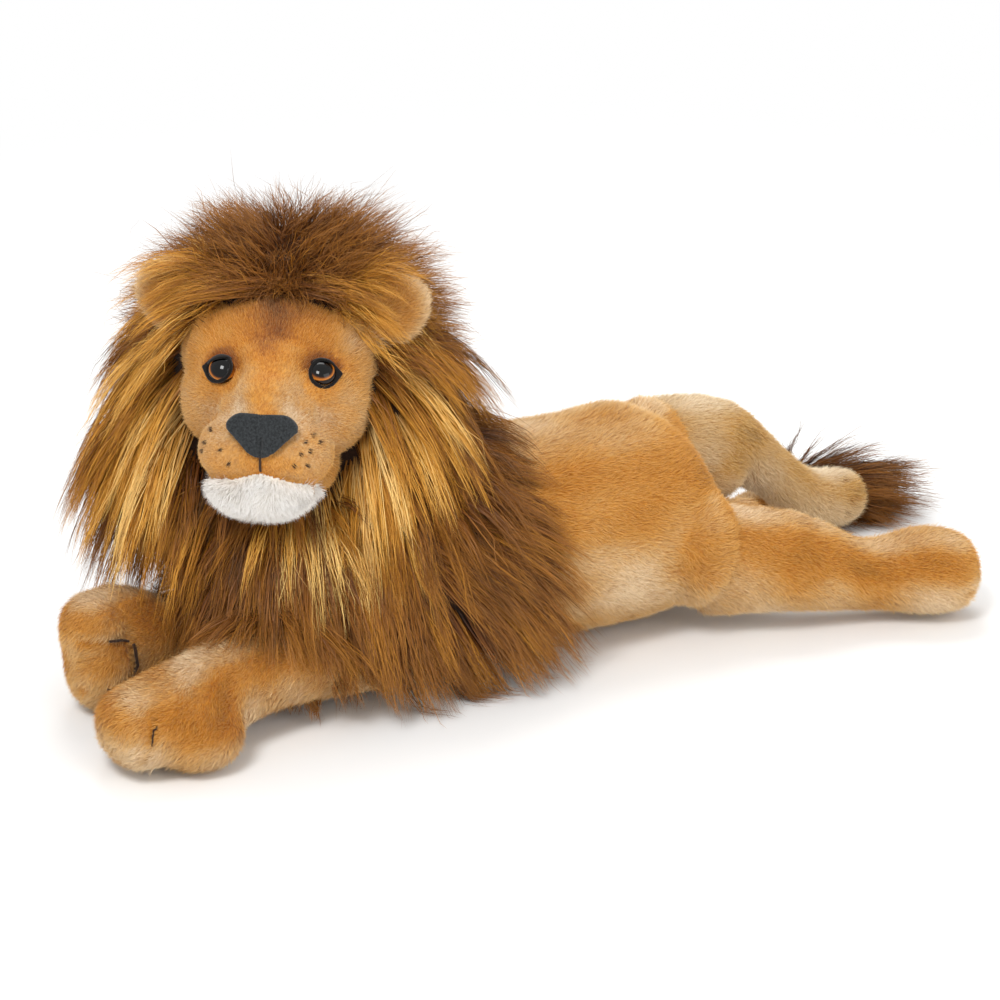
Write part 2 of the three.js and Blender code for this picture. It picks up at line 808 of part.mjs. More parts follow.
const headClear = solid(swelling(head, chinPile + 2 * seamGap));
const earForms = { left: ear(-1), right: ear(1) };
const earClear = Object.values(earForms).map((form) => solid(swelling(form, seamGap)));
const ruffBody = cut(solid(aboutSight(ruffProfile(0))), headClear, neckInHead, belowShelf, ...earClear);
const crownOutline = crownShares.map(([back, radius]) => [back * maneDepth, radius * maneRadius]);
const crownDome = solid(flared(aboutSight([
  [crownOutline[0][0], 0],
  ...crownOutline,
  [maneDepth, 0],
])));
const napeFoot = shelfHeight + runningGap;
const nape = inHead(turned([
  [0, napeFoot],
  ...napeShares.map(([radius, height]) => [radius * shelfRadius, napeFoot + height * napeHeight]),
  [0, napeFoot + napeHeight],
], roundSides, neckX));
const frontOfNape = inHead(
  new THREE.BoxGeometry(wide, wide, wide).translate(neckX - wide / 2, 0, shelfHeight),
);
const ruffBack = ruffShares.at(-1)[0] * ruffDepth;
const frontOfRuff = solid(
  new THREE.BoxGeometry(wide, wide, wide).translate(ruffBack - wide / 2, 0, 0),
);
const crownBody = cut(
  crownDome.add(cut(nape, frontOfNape, frontOfRuff)),
  solid(aboutSight(ruffProfile(seamGap))),
  headClear,
  neckInHead,
  belowShelf,
  outsideShelf,
  ...earClear,
);

const headCover = cut(cover(head), neckInHead, ...eyeCuts);
const headFilling = cut(filling(head), neckInHead, ...eyeCuts);
headGroup.add(
  piece('head_cover', headCover, materials.tan),
  piece('head_filling', headFilling, materials.filling),
  piece('chin_panel', chinBody, materials.chin),
  piece('nose', cut(noseBody, solid(swelling(head, seamGap))), materials.nose),
  piece('mane_ruff', ruffBody, materials.gold),
  piece('mane_crown', crownBody, materials.brown),
);
for (const [side, frame] of Object.entries(eyeFrames)) {
  frame.add(
    piece(`eye_${side}`, solid(eyeGeometry()), materials.eye),
    piece(`eye_washer_${side}`, solid(washerGeometry()), materials.washer),
    piece(`eyelid_${side}`, solid(lidGeometry(side === 'left' ? -1 : 1)), materials.lid),
  );
  headGroup.add(frame);
}
for (const [side, form] of Object.entries(earForms)) {
  const earBody = cut(solid(swelling(form)), solid(swelling(head, seamGap)));
  headGroup.add(piece(`ear_${side}`, earBody, materials.tan));
}

// Legs and tail: a cover with the hole it was filled through, and its filling
function limbOpening(form) {
  const [root, next] = form.stations;
  const inward = root.centre.clone().sub(next.centre).normalize();
  const radius = root.halfWidth * openingShare;
  const length = root.halfWidth + pileWall;
  const hole = new THREE.CylinderGeometry(radius, radius, length, limbSides)
    .translate(0, length / 2, 0);
  const turn = new THREE.Quaternion().setFromUnitVectors(new THREE.Vector3(0, 1, 0), inward);
  return solid(hole.applyQuaternion(turn).translate(root.centre.x, root.centre.y, root.centre.z));
}

const lion = new THREE.Group();
lion.add(
  piece('torso_cover', torsoCover, materials.tan),
  piece('torso_filling', torsoFilling, materials.filling),
  piece('mane_cape', capeBody, materials.brown),
  headGroup,
);
for (const [name, form] of Object.entries(limbForms)) {
  const shade = name === 'hind_leg_right' ? materials.fawn : materials.tan;
  lion.add(
    piece(`${name}_cover`, cut(cover(form, limbOpening(form)), underFloor), shade),
    piece(`${name}_filling`, filling(form), materials.filling),
  );
}
const tuftBody = cut(solid(swelling(tuft)), solid(swelling(tail, seamGap)), underFloor);
lion.add(piece('tail_tuft', tuftBody, materials.brown));

export default lion;
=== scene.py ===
"""The looks of a plush lion that lies on its belly with its head turned to its left.

Lengths are millimetres here and metres in Blender. +Z is up, the head is toward -X, the tail
toward +X and the lion's left side toward -Y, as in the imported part.
"""

import logging
import math
from dataclasses import dataclass, field
from enum import Enum
from typing import Callable

import bpy
import numpy as np
from mathutils import Euler, Matrix, Vector
from mathutils.bvhtree import BVHTree


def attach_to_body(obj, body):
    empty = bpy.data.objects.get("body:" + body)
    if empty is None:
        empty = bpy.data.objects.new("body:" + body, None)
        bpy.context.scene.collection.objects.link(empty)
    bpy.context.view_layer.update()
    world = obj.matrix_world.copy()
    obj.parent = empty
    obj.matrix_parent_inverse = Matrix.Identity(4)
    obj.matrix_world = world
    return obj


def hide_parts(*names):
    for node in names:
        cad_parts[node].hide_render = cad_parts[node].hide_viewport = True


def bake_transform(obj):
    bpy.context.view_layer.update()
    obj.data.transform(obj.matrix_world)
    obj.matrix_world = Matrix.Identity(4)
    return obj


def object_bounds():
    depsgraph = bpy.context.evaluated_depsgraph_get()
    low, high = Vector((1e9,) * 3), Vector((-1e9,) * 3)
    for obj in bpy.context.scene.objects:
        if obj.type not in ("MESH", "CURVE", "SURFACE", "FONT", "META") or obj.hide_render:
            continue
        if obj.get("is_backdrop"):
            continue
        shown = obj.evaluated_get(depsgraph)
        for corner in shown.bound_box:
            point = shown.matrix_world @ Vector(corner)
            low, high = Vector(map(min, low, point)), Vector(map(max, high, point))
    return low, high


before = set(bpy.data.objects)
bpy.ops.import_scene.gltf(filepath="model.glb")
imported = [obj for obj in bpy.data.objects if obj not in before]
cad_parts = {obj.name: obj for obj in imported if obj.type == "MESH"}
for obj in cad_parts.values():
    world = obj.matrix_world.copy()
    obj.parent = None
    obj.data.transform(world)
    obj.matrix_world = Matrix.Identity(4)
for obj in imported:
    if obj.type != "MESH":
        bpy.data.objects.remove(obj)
CAD_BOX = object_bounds()

MM = 0.001
SHADE_MAP = "OFBake"
# How far long pile may reach, in millimetres.
HAIR_BOX = ((-345.0, -119.0, 0.0), (356.0, 161.0, 321.0))
LOG = logging.getLogger("plush_lion")

Points = np.ndarray
Triple = tuple[float, float, float]
Forms = tuple[tuple[Triple, Triple], ...]
Mesh = bpy.types.Object
Material = bpy.types.Material
Nodes = bpy.types.NodeTree


class Body(Enum):
    """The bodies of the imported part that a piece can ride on."""

    TORSO = "torso"
    HEAD = "head"
    FRONT_LEFT = "front_leg_left"
    FRONT_RIGHT = "front_leg_right"
    HIND_LEFT = "hind_leg_left"
    HIND_RIGHT = "hind_leg_right"
    TAIL = "tail"


# Small helpers


def linear(colour: str) -> tuple[float, float, float, float]:
    """Turns an sRGB hex colour into linear light.

    Args:
        colour: Six hex digits after a hash sign.

    Returns:
        Red, green, blue and an alpha of 1.
    """
    parts = [int(colour[at:at + 2], 16) / 255 for at in (1, 3, 5)]
    light = [part / 12.92 if part <= 0.04045 else ((part + 0.055) / 1.055) ** 2.4 for part in parts]
    return (light[0], light[1], light[2], 1.0)


def metres(points: Points | Triple | list) -> Points:
    """Turns places in millimetres into metres."""
    return np.asarray(points, float) * MM


def unit(vectors: Points) -> Points:
    """Scales each vector to length 1."""
    length = np.linalg.norm(vectors, axis=-1, keepdims=True)
    return vectors / np.maximum(length, 1e-12)


def smooth_step(values: Points, low: float, high: float) -> Points:
    """Rises smoothly from 0 at low to 1 at high."""
    share = np.clip((values - low) / (high - low), 0, 1)
    return share * share * (3 - 2 * share)


def turn_about(vectors: Points, axes: Points, angles: Points) -> Points:
    """Turns each vector about its own unit axis, by its own angle in radians."""
    cosine, sine = np.cos(angles)[..., None], np.sin(angles)[..., None]
    along = (vectors * axes).sum(-1, keepdims=True) * axes
    return vectors * cosine + np.cross(axes, vectors) * sine + along * (1 - cosine)


@dataclass(frozen=True)
class Ripple:
    """A soft seeded noise over space, made of a few plane waves.

    Attributes:
        size: About how far apart its crests are, in millimetres.
        seed: What its waves are drawn from.
    """

    size: float
    seed: int

    def at(self, points: Points) -> Points:
        """Gives three values of about -1 to 1 at each place, in metres."""
        draw = np.random.default_rng(self.seed)
        total = np.zeros((len(points), 3))
        waves = 7
        for _ in range(waves):
            way = unit(draw.normal(size=3)) * 2 * math.pi / (self.size * MM * draw.uniform(0.6, 1.5))
            total += np.sin(points @ way[:, None] + draw.uniform(0, 2 * math.pi, 3))
        return total / math.sqrt(waves / 2) / 1.5


# Materials


def add_node(
    tree: Nodes, kind: str, values: dict | None = None, links: dict | None = None, stops: tuple | None = None,
) -> bpy.types.Node:
    """Adds one shader node.

    Args:
        tree: The material's or world's nodes.
        kind: Blender's name of the node's class.
        values: Settings by property name, or numbers and colours by the input's name or number.
        links: Output sockets by the name or number of the input that they feed.
        stops: Places and hex colours of a colour ramp.

    Returns:
        The new node.
    """
    node = tree.nodes.new(kind)
    for name, value in (values or {}).items():
        if hasattr(node, str(name)):
            setattr(node, name, value)
        else:
            node.inputs[name].default_value = value
    for name, output in (links or {}).items():
        tree.links.new(output, node.inputs[name])
    if stops:
        ramp = node.color_ramp.elements
        while len(ramp) < len(stops):
            ramp.new(0.5)
        for element, (place, colour) in zip(ramp, stops):
            element.position = place
            element.color = linear(colour)
    return node


def blank_material(name: str) -> tuple[Material, Nodes]:
    """Makes a material with this plain name and no nodes."""
    material = bpy.data.materials.new(name)
    material.use_nodes = True
    material.node_tree.nodes.clear()
    return material, material.node_tree


def show(tree: Nodes, shader: bpy.types.NodeSocket) -> None:
    """Leads a shader to the output of a material."""
    add_node(tree, "ShaderNodeOutputMaterial", links={"Surface": shader})


def background_rays(tree: Nodes) -> bpy.types.NodeSocket:
    """Gives 1 for the rays that show the white background: straight, mirrored or through glass.

    Args:
        tree: The nodes of the floor's material or of the world.

    Returns:
        The socket that holds the 1 or 0.
    """
    path = add_node(tree, "ShaderNodeLightPath")
    seen = path.outputs["Is Camera Ray"]
    for kind in ("Is Glossy Ray", "Is Transmission Ray"):
        either = add_node(tree, "ShaderNodeMath", {"operation": "MAXIMUM"}, {0: seen, 1: path.outputs[kind]})
        seen = either.outputs[0]
    return seen


@dataclass(frozen=True)
class Pile:
    """Acrylic pile fabric: its strands' colours run from shade to shade and from root to tip.

    A strand's place across the shade map picks its shade, and its place up the map is how far
    along the strand it is. Brushed acrylic is dull with a soft sheen, which the eye reads as plush.

    Attributes:
        name: The material's name.
        shades: Places and colours of the shades, from the darkest strand to the palest.
        tip: The colour that bleached tips go toward.
        painted_root_shade: The painted shade of the roots, as a hex grey that multiplies the shade.
        tip_share: How far the tips go toward that colour.
        roughness: The gloss of the fibre.
        sheen: The fuzz that catches light at the edges.
    """

    name: str
    shades: tuple[tuple[float, str], ...]
    tip: str
    painted_root_shade: str
    tip_share: float
    roughness: float = 0.66
    sheen: float = 0.12

    def build(self) -> Material:
        """Makes the material."""
        material, tree = blank_material(self.name)
        place = add_node(tree, "ShaderNodeUVMap", {"uv_map": SHADE_MAP})
        split = add_node(tree, "ShaderNodeSeparateXYZ", links={0: place.outputs["UV"]})
        shade = add_node(tree, "ShaderNodeValToRGB", links={"Fac": split.outputs["X"]}, stops=self.shades)
        # Painted shade: the roots darken toward the skin, where the pile shades itself.
        depth = add_node(
            tree, "ShaderNodeValToRGB", links={"Fac": split.outputs["Y"]},
            stops=((0.0, self.painted_root_shade), (0.55, "#ffffff")),
        )
        bleach = add_node(
            tree, "ShaderNodeMapRange",
            {"From Min": 0.45, "From Max": 1.0, "To Max": self.tip_share}, {"Value": split.outputs["Y"]},
        )
        rooted = add_node(
            tree, "ShaderNodeMix", {"data_type": "RGBA", "blend_type": "MULTIPLY", 0: 1.0},
            {6: shade.outputs["Color"], 7: depth.outputs["Color"]},
        )
        tipped = add_node(
            tree, "ShaderNodeMix", {"data_type": "RGBA", 7: linear(self.tip)},
            {0: bleach.outputs["Result"], 6: rooted.outputs[2]},
        )
        shader = add_node(
            tree, "ShaderNodeBsdfPrincipled",
            {
                "Roughness": self.roughness, "Specular IOR Level": 0.25,
                "Sheen Weight": self.sheen, "Sheen Roughness": 0.5,
            },
            {"Base Color": tipped.outputs[2]},
        )
        show(tree, shader.outputs["BSDF"])
        return material


@dataclass(frozen=True)
class Felt:
    """Pressed wool or acrylic felt: matted fibres, so it is dull, mottled and softly dented.

    Attributes:
        name: The material's name.
        dark: The colour in the dents.
        pale: The colour of the raised fibres.
        fibre: The size of a tuft of fibres, in millimetres.
        depth: How deep the dents look, in millimetres.
    """

    name: str
    dark: str
    pale: str
    fibre: float = 0.8
    depth: float = 0.35

    def build(self) -> Material:
        """Makes the material."""
        material, tree = blank_material(self.name)
        place = add_node(tree, "ShaderNodeTexCoord")
        mat = add_node(
            tree, "ShaderNodeTexNoise",
            {"Scale": 1 / (self.fibre * MM), "Detail": 6.0, "Roughness": 0.7},
            {"Vector": place.outputs["Object"]},
        )
        colour = add_node(
            tree, "ShaderNodeValToRGB", links={"Fac": mat.outputs["Fac"]},
            stops=((0.32, self.dark), (0.72, self.pale)),
        )
        dents = add_node(
            tree, "ShaderNodeBump", {"Strength": 0.9, "Distance": self.depth * MM},
            {"Height": mat.outputs["Fac"]},
        )
        shader = add_node(
            tree, "ShaderNodeBsdfPrincipled",
            {"Roughness": 0.92, "Sheen Weight": 0.15, "Specular IOR Level": 0.2},
            {"Base Color": colour.outputs["Color"], "Normal": dents.outputs["Normal"]},
        )
        show(tree, shader.outputs["BSDF"])
        return material


@dataclass(frozen=True)
class EyePlastic:
    """A moulded acrylic safety eye: an amber iris and a black pupil under a clear glossy dome.

    Attributes:
        name: The material's name.
        iris: The amber's colours, from the rim of the pupil outward.
        pupil_share: The pupil's radius as a share of the eye's.
        glance: How far the pupil sits toward the nose and up, as shares of the radius.
    """

    name: str = "acrylic_safety_eye"
    iris: tuple[str, str, str] = ("#3a1703", "#c47420", "#150903")
    pupil_share: float = 0.76
    glance: tuple[float, float] = (0.12, 0.14)

    def build(self, socket: "Socket", radius: float) -> Material:
        """Makes the material for one eye.

        Args:
            socket: Where the eye sits.
            radius: The eye's radius in metres.

        Returns:
            The material.
        """
        material, tree = blank_material(self.name)
        place = add_node(tree, "ShaderNodeTexCoord")
        centred = add_node(
            tree, "ShaderNodeMapping",
            {
                "vector_type": "TEXTURE", "Location": Vector(socket.middle), "Rotation": socket.turn,
                "Scale": (radius,) * 3,
            },
            {"Vector": place.outputs["Object"]},
        )
        inward, up = self.glance
        aside = add_node(
            tree, "ShaderNodeVectorMath", {"operation": "SUBTRACT", 1: (-inward * socket.side, up, 0.0)},
            {0: centred.outputs["Vector"]},
        )
        flat = add_node(
            tree, "ShaderNodeVectorMath", {"operation": "MULTIPLY", 1: (1.0, 1.0, 0.0)}, {0: aside.outputs[0]},
        )
        far = add_node(tree, "ShaderNodeVectorMath", {"operation": "LENGTH"}, {0: flat.outputs[0]})
        edge = self.pupil_share
        rings = add_node(
            tree, "ShaderNodeValToRGB", links={"Fac": far.outputs["Value"]},
            stops=(
                (0.0, "#020202"), (edge - 0.02, "#020202"), (edge + 0.04, self.iris[0]),
                (edge + 0.2, self.iris[1]), (0.93, self.iris[1]), (0.99, self.iris[2]),
            ),
        )
        shader = add_node(
            tree, "ShaderNodeBsdfPrincipled",
            {"Roughness": 0.07, "IOR": 1.36},
            {"Base Color": rings.outputs["Color"]},
        )
        show(tree, shader.outputs["BSDF"])
        return material


# Short acrylic pile, airbrushed: a soft warm golden nap with paler bleached tips, never shiny. A real
# fibre is about 0.03 mm thick, too fine to show, so the strands are drawn 0.5 mm wide.
TAN_PILE = Pile(
    name="golden_tan_plush",
    shades=((0.0, "#94600e"), (0.3, "#cb8724"), (0.5, "#d69c46"), (0.72, "#deb67a"), (1.0, "#f4dfbc")),
    tip="#e4bf86", painted_root_shade="#bf9f7a", tip_share=0.36,
)
# The same cloth, greyer and paler, as on the far haunch beside the tan.
FAWN_PILE = Pile(
    name="greyish_fawn_plush",
    shades=((0.0, "#9c7430"), (0.25, "#cfa050"), (0.5, "#d6b47e"), (0.72, "#e0c69c"), (1.0, "#f2e2c6")),
    tip="#ead6b2", painted_root_shade="#cfb494", tip_share=0.4,
)
# The same cloth shaved to about 3 mm: a smooth velvety face with brown shading round the eyes.
FACE_PILE = Pile(
    name="shaved_face_plush",
    shades=(
        (0.0, "#5e2f0a"), (0.2, "#9e5c16"), (0.38, "#cb8628"),
        (0.54, "#d49a46"), (0.76, "#cda36b"), (1.0, "#e8d5b8"),
    ),
    tip="#e6c898", painted_root_shade="#c2a582", tip_share=0.28,
)
# Undyed pile, a little longer: a bright fluffy chin that stays just under white.
WHITE_PILE = Pile(
    name="white_chin_plush",
    shades=((0.0, "#cfc8be"), (0.5, "#efeae2"), (1.0, "#fbf9f6")),
    tip="#fdfcfa", painted_root_shade="#dcd6cd", tip_share=0.4, roughness=0.6, sheen=0.2,
)
# Long faux fur in mixed dyes: brown and gold locks with painted root shade and a silky, not glossy, shine.
MANE_PILE = Pile(
    name="long_brown_and_gold_faux_fur",
    shades=(
        (0.0, "#1f0f06"), (0.2, "#4c280c"), (0.38, "#784517"), (0.52, "#985f1e"),
        (0.66, "#bd7f22"), (0.82, "#dca244"), (1.0, "#f6cf80"),
    ),
    tip="#cf9a50", painted_root_shade="#937e6b", tip_share=0.18, roughness=0.5, sheen=0.0,
)
# A few dark fibres in the muzzle's pile: soft spots where whiskers would grow.
MARK_PILE = Pile(
    name="dark_brown_whisker_fibre",
    shades=((0.0, "#241710"), (0.5, "#4a3322"), (1.0, "#6a503a")),
    tip="#6a503a", painted_root_shade="#b0a090", tip_share=0.2, roughness=0.7, sheen=0.1,
)
# Knitted polyester under the fur, dark and dull as painted shade, so that gaps between locks read as
# depth. Its loops are drawn 2 mm wide, coarser than the real ones, which are too fine to show.
PAINTED_SHADE_BACKING = Felt(name="dark_brown_knitted_backing", dark="#1d1008", pale="#3a2312", fibre=2.0, depth=0.8)
# Undyed moulded polypropylene: an even, waxy off-white with no grain.
WASHER_PLASTIC = Felt(name="natural_moulded_plastic", dark="#cfc9bf", pale="#ddd8ce", fibre=3.0, depth=0.05)
# Pressed felt over foam: a soft charcoal with matted mottling, drawn coarser than the real fibre.
NOSE_FELT = Felt(name="charcoal_felt", dark="#111314", pale="#3c3f41", fibre=1.3, depth=0.6)
# The same felt in black, cut thin: a matt rim that makes the glossy eye stand out.
LID_FELT = Felt(name="black_felt", dark="#070505", pale="#15100c", fibre=0.6, depth=0.2)
# Twisted cotton: a dull dark line that sinks into the pile where a paw's toes are drawn in.
THREAD_COTTON = Felt(name="dark_brown_cotton_thread", dark="#1e120a", pale="#4a3220", fibre=0.4, depth=0.1)


# Mesh work


def deselect() -> None:
    """Leaves object mode with nothing selected."""
    if bpy.context.object and bpy.context.object.mode != "OBJECT":
        bpy.ops.object.mode_set(mode="OBJECT")
    bpy.ops.object.select_all(action="DESELECT")


def select(*pieces: Mesh) -> None:
    """Selects only these objects, the first one active."""
    deselect()
    for piece in pieces:
        piece.select_set(True)
    bpy.context.view_layer.objects.active = pieces[0]


def settle(piece: Mesh) -> None:
    """Applies an object's place, turn and scale, so its place is in its mesh."""
    select(piece)
    bpy.ops.object.transform_apply(location=True, rotation=True, scale=True)


def apply_modifiers(piece: Mesh) -> None:
    """Applies all the modifiers of an object."""
    select(piece)
    for modifier in list(piece.modifiers):
        bpy.ops.object.modifier_apply(modifier=modifier.name)


def add_object(name: str, data: bpy.types.ID) -> Mesh:
    """Adds an object with this data to the scene."""
    added = bpy.data.objects.new(name, data)
    bpy.context.scene.collection.objects.link(added)
    return added


def dress(piece: Mesh, material: Material) -> None:
    """Gives a piece one material and no other."""
    piece.data.materials.clear()
    piece.data.materials.append(material)


def attach(body: Body, slot: str, *pieces: Mesh) -> None:
    """Makes pieces ride on a body."""
    for piece in pieces:
        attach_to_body(piece, body.value)


def delete_selected(kind: str) -> None:
    """Deletes what is selected of the active mesh: a VERT or a FACE."""
    bpy.ops.object.mode_set(mode="EDIT")
    bpy.ops.mesh.select_mode(type=kind)
    bpy.ops.mesh.delete(type=kind)
    bpy.ops.object.mode_set(mode="OBJECT")


def thicken(piece: Mesh, thickness: float, offset: float) -> None:
    """Gives a sheet cloth's thickness, in millimetres, offset from 1 for outward to -1 for inward."""
    wall = piece.modifiers.new("cloth_thickness", "SOLIDIFY")
    wall.thickness, wall.offset = thickness * MM, offset
    apply_modifiers(piece)


def read_triples(items: bpy.types.bpy_prop_collection, name: str) -> Points:
    """Reads three numbers from each item of a mesh."""
    found = np.empty(len(items) * 3, np.float32)
    items.foreach_get(name, found)
    return found.reshape(-1, 3).astype(float)


def coordinates(piece: Mesh) -> Points:
    """Reads the places of a mesh's vertices, in metres."""
    return read_triples(piece.data.vertices, "co")


def normals(piece: Mesh) -> Points:
    """Reads the normals of a mesh's vertices."""
    return read_triples(piece.data.vertex_normals, "vector")


def move_to(piece: Mesh, places: Points) -> None:
    """Writes the places of a mesh's vertices, in metres."""
    piece.data.vertices.foreach_set("co", places.astype(np.float32).ravel())
    piece.data.update()


def ellipsoid(middle: Triple, radii: Triple, turn: Matrix | None = None) -> Mesh:
    """Adds one ellipsoid of stuffing, as a start for a remesh.

    Args:
        middle: Its centre, in millimetres.
        radii: Its half sizes along its own axes, in millimetres.
        turn: How its own axes lie, or nothing if they lie along X, Y and Z.

    Returns:
        The new object.
    """
    deselect()
    rotation = (turn or Matrix.Identity(3)).to_euler()
    bpy.ops.mesh.primitive_ico_sphere_add(
        subdivisions=4, radius=1, location=metres(middle), rotation=rotation, scale=metres(radii),
    )
    return bpy.context.object


def fuse(name: str, parts: list[Mesh], voxel: float, smoothing: int) -> Mesh:
    """Joins overlapping forms into one smooth closed skin.

    Args:
        name: The name of the result.
        parts: The forms, which are used up.
        voxel: The remesh size, in millimetres.
        smoothing: How many rounds of smoothing follow.

    Returns:
        The skin.
    """
    select(*parts)
    bpy.ops.object.join()
    skin = bpy.context.object
    skin.name = skin.data.name = name
    settle(skin)
    remesh = skin.modifiers.new("remesh", "REMESH")
    remesh.mode = "VOXEL"
    remesh.voxel_size = voxel * MM
    smooth = skin.modifiers.new("smooth", "SMOOTH")
    smooth.factor = 0.5
    smooth.iterations = smoothing
    apply_modifiers(skin)
    skin.data.shade_smooth()
    return skin


CLOTH_STIFFNESS = {"tension": 25, "compression": 25, "shear": 10, "bending": 2}
CLOTH_FRAMES = 20


def inflate(skin: Mesh, pressure: float, cap: float, sewn: Points | None = None) -> None:
    """Puffs a skin up as its filling does, by a short cloth simulation.

    Args:
        skin: The closed mesh.
        pressure: The filling's push.
        cap: The farthest that a point may move, in millimetres.
        sewn: For each vertex, how firmly a seam holds it, from 0 to 1.
    """
    rest = coordinates(skin)
    cloth = skin.modifiers.new("cloth", "CLOTH")
    settings = cloth.settings
    settings.quality = 5
    settings.mass = 0.3
    for kind, stiffness in CLOTH_STIFFNESS.items():
        setattr(settings, f"{kind}_stiffness", stiffness)
    settings.effector_weights.gravity = 0
    settings.use_pressure = True
    settings.uniform_pressure_force = pressure
    if sewn is not None:
        group = skin.vertex_groups.new(name="sewn")
        for index in np.nonzero(sewn > 0.02)[0]:
            group.add([int(index)], float(sewn[index]), "REPLACE")
        settings.vertex_group_mass = group.name
    scene = bpy.context.scene
    scene.frame_start, scene.frame_end = 1, CLOTH_FRAMES
    for step in range(1, CLOTH_FRAMES + 1):
        scene.frame_set(step)
    apply_modifiers(skin)
    scene.frame_set(1)
    moved = coordinates(skin) - rest
    far = np.linalg.norm(moved, axis=1, keepdims=True)
    move_to(skin, rest + moved * np.minimum(1, cap * MM / np.maximum(far, 1e-9)))
    skin.vertex_groups.clear()


def refine(skin: Mesh) -> None:
    """Adds one subdivision and applies it."""
    subdivision = skin.modifiers.new("subdivision", "SUBSURF")
    subdivision.levels = subdivision.render_levels = 1
    apply_modifiers(skin)


def rest_on_floor(skin: Mesh, height: float = 0.4) -> None:
    """Flattens what would sink into the floor.

    Args:
        skin: The mesh.
        height: The lowest that its points may be, in millimetres.
    """
    places = coordinates(skin)
    places[:, 2] = np.maximum(places[:, 2], height * MM)
    move_to(skin, places)


def bvh(skin: Mesh) -> BVHTree:
    """Makes a search tree of a mesh, for finding places on it."""
    faces = [list(face.vertices) for face in skin.data.polygons]
    return BVHTree.FromPolygons(coordinates(skin).tolist(), faces)


def felted(node: str, name: str, voxel: float, smoothing: int) -> Mesh:
    """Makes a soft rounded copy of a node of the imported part, as fuse does."""
    return fuse(name, [add_object(name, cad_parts[node].data.copy())], voxel, smoothing)


def distance_to_line(points: Points, line: Points) -> Points:
    """Measures how far each point is from a line through several places."""
    nearest = np.full(len(points), np.inf)
    for start, end in zip(line[:-1], line[1:]):
        way = end - start
        share = np.clip((points - start) @ way / max(way @ way, 1e-12), 0, 1)
        nearest = np.minimum(nearest, np.linalg.norm(points - start - share[:, None] * way, axis=1))
    return nearest


@dataclass(frozen=True)
class Crease:
    """A line where a seam or stitch draws the skin in.

    Attributes:
        line: Its places, in millimetres.
        width: How wide the dent is, in millimetres.
        depth: How deep the dent is, in millimetres.
        shade: How much painted shade darkens the pile in it.
    """

    line: tuple[Triple, ...]
    width: float
    depth: float
    shade: float = 0.12

    def hold(self, points: Points) -> Points:
        """Gives how firmly the line holds each point, from 0 to 1."""
        away = distance_to_line(points, metres(self.line))
        return np.exp(-((away / (self.width * MM)) ** 2))

    def press(self, skin: Mesh) -> None:
        """Draws the skin in along the line."""
        places = coordinates(skin)
        move_to(skin, places - normals(skin) * (self.hold(places) * self.depth * MM)[:, None])


@dataclass(frozen=True)
class Stitch:
    """A line of dark thread that lies on a skin.

    Attributes:
        line: Its places, in millimetres.
        radius: The thread's radius, in millimetres.
        lift: How far its middle lies above the skin, in millimetres.
    """

    line: tuple[Triple, ...]
    radius: float = 0.8
    lift: float = 2.4

    def build(self, skin: Mesh, name: str) -> Mesh:
        """Lays the thread on a skin.

        Args:
            skin: The mesh that it is sewn into.
            name: The thread's name.

        Returns:
            The thread.
        """
        tree = bvh(skin)
        ends = metres(self.line)
        stops = np.linspace(0, len(ends) - 1, 4 * len(ends))
        spots = np.stack([np.interp(stops, range(len(ends)), ends[:, axis]) for axis in range(3)], 1)
        curve = bpy.data.curves.new(name, "CURVE")
        curve.dimensions = "3D"
        curve.bevel_depth, curve.bevel_resolution = self.radius * MM, 3
        curve.use_fill_caps = True
        spline = curve.splines.new("POLY")
        spline.points.add(len(spots) - 1)
        for point, spot in zip(spline.points, spots):
            place, outward = tree.find_nearest(Vector(spot))[:2]
            point.co = (*(place + outward * self.lift * MM), 1)
        select(add_object(name, curve))
        bpy.ops.object.convert(target="MESH")
        thread = bpy.context.object
        thread.data.shade_smooth()
        dress(thread, THREAD_COTTON.build())
        return thread


def colour_skin(skin: Mesh, tones: Points, seed: int) -> None:
    """Gives a skin the shades of the pile's roots, through the shade map.

    Args:
        skin: The mesh.
        tones: The shade at each vertex, from 0 to 1.
        seed: What the fine mottling is drawn from.
    """
    mesh = skin.data
    draw = np.random.default_rng(seed)
    corners = np.empty(len(mesh.loops), np.int32)
    mesh.loops.foreach_get("vertex_index", corners)
    # Painted shade: the skin lies low on the shade map, where the roots are darkened.
    depth = draw.uniform(0.05, 0.45, len(mesh.vertices))
    shade = np.clip(tones + draw.normal(0, 0.05, len(tones)), 0.02, 0.98)
    layer = mesh.uv_layers.get(SHADE_MAP) or mesh.uv_layers.new(name=SHADE_MAP)
    layer.uv.foreach_set("vector", np.stack([shade[corners], depth[corners]], 1).astype(np.float32).ravel())


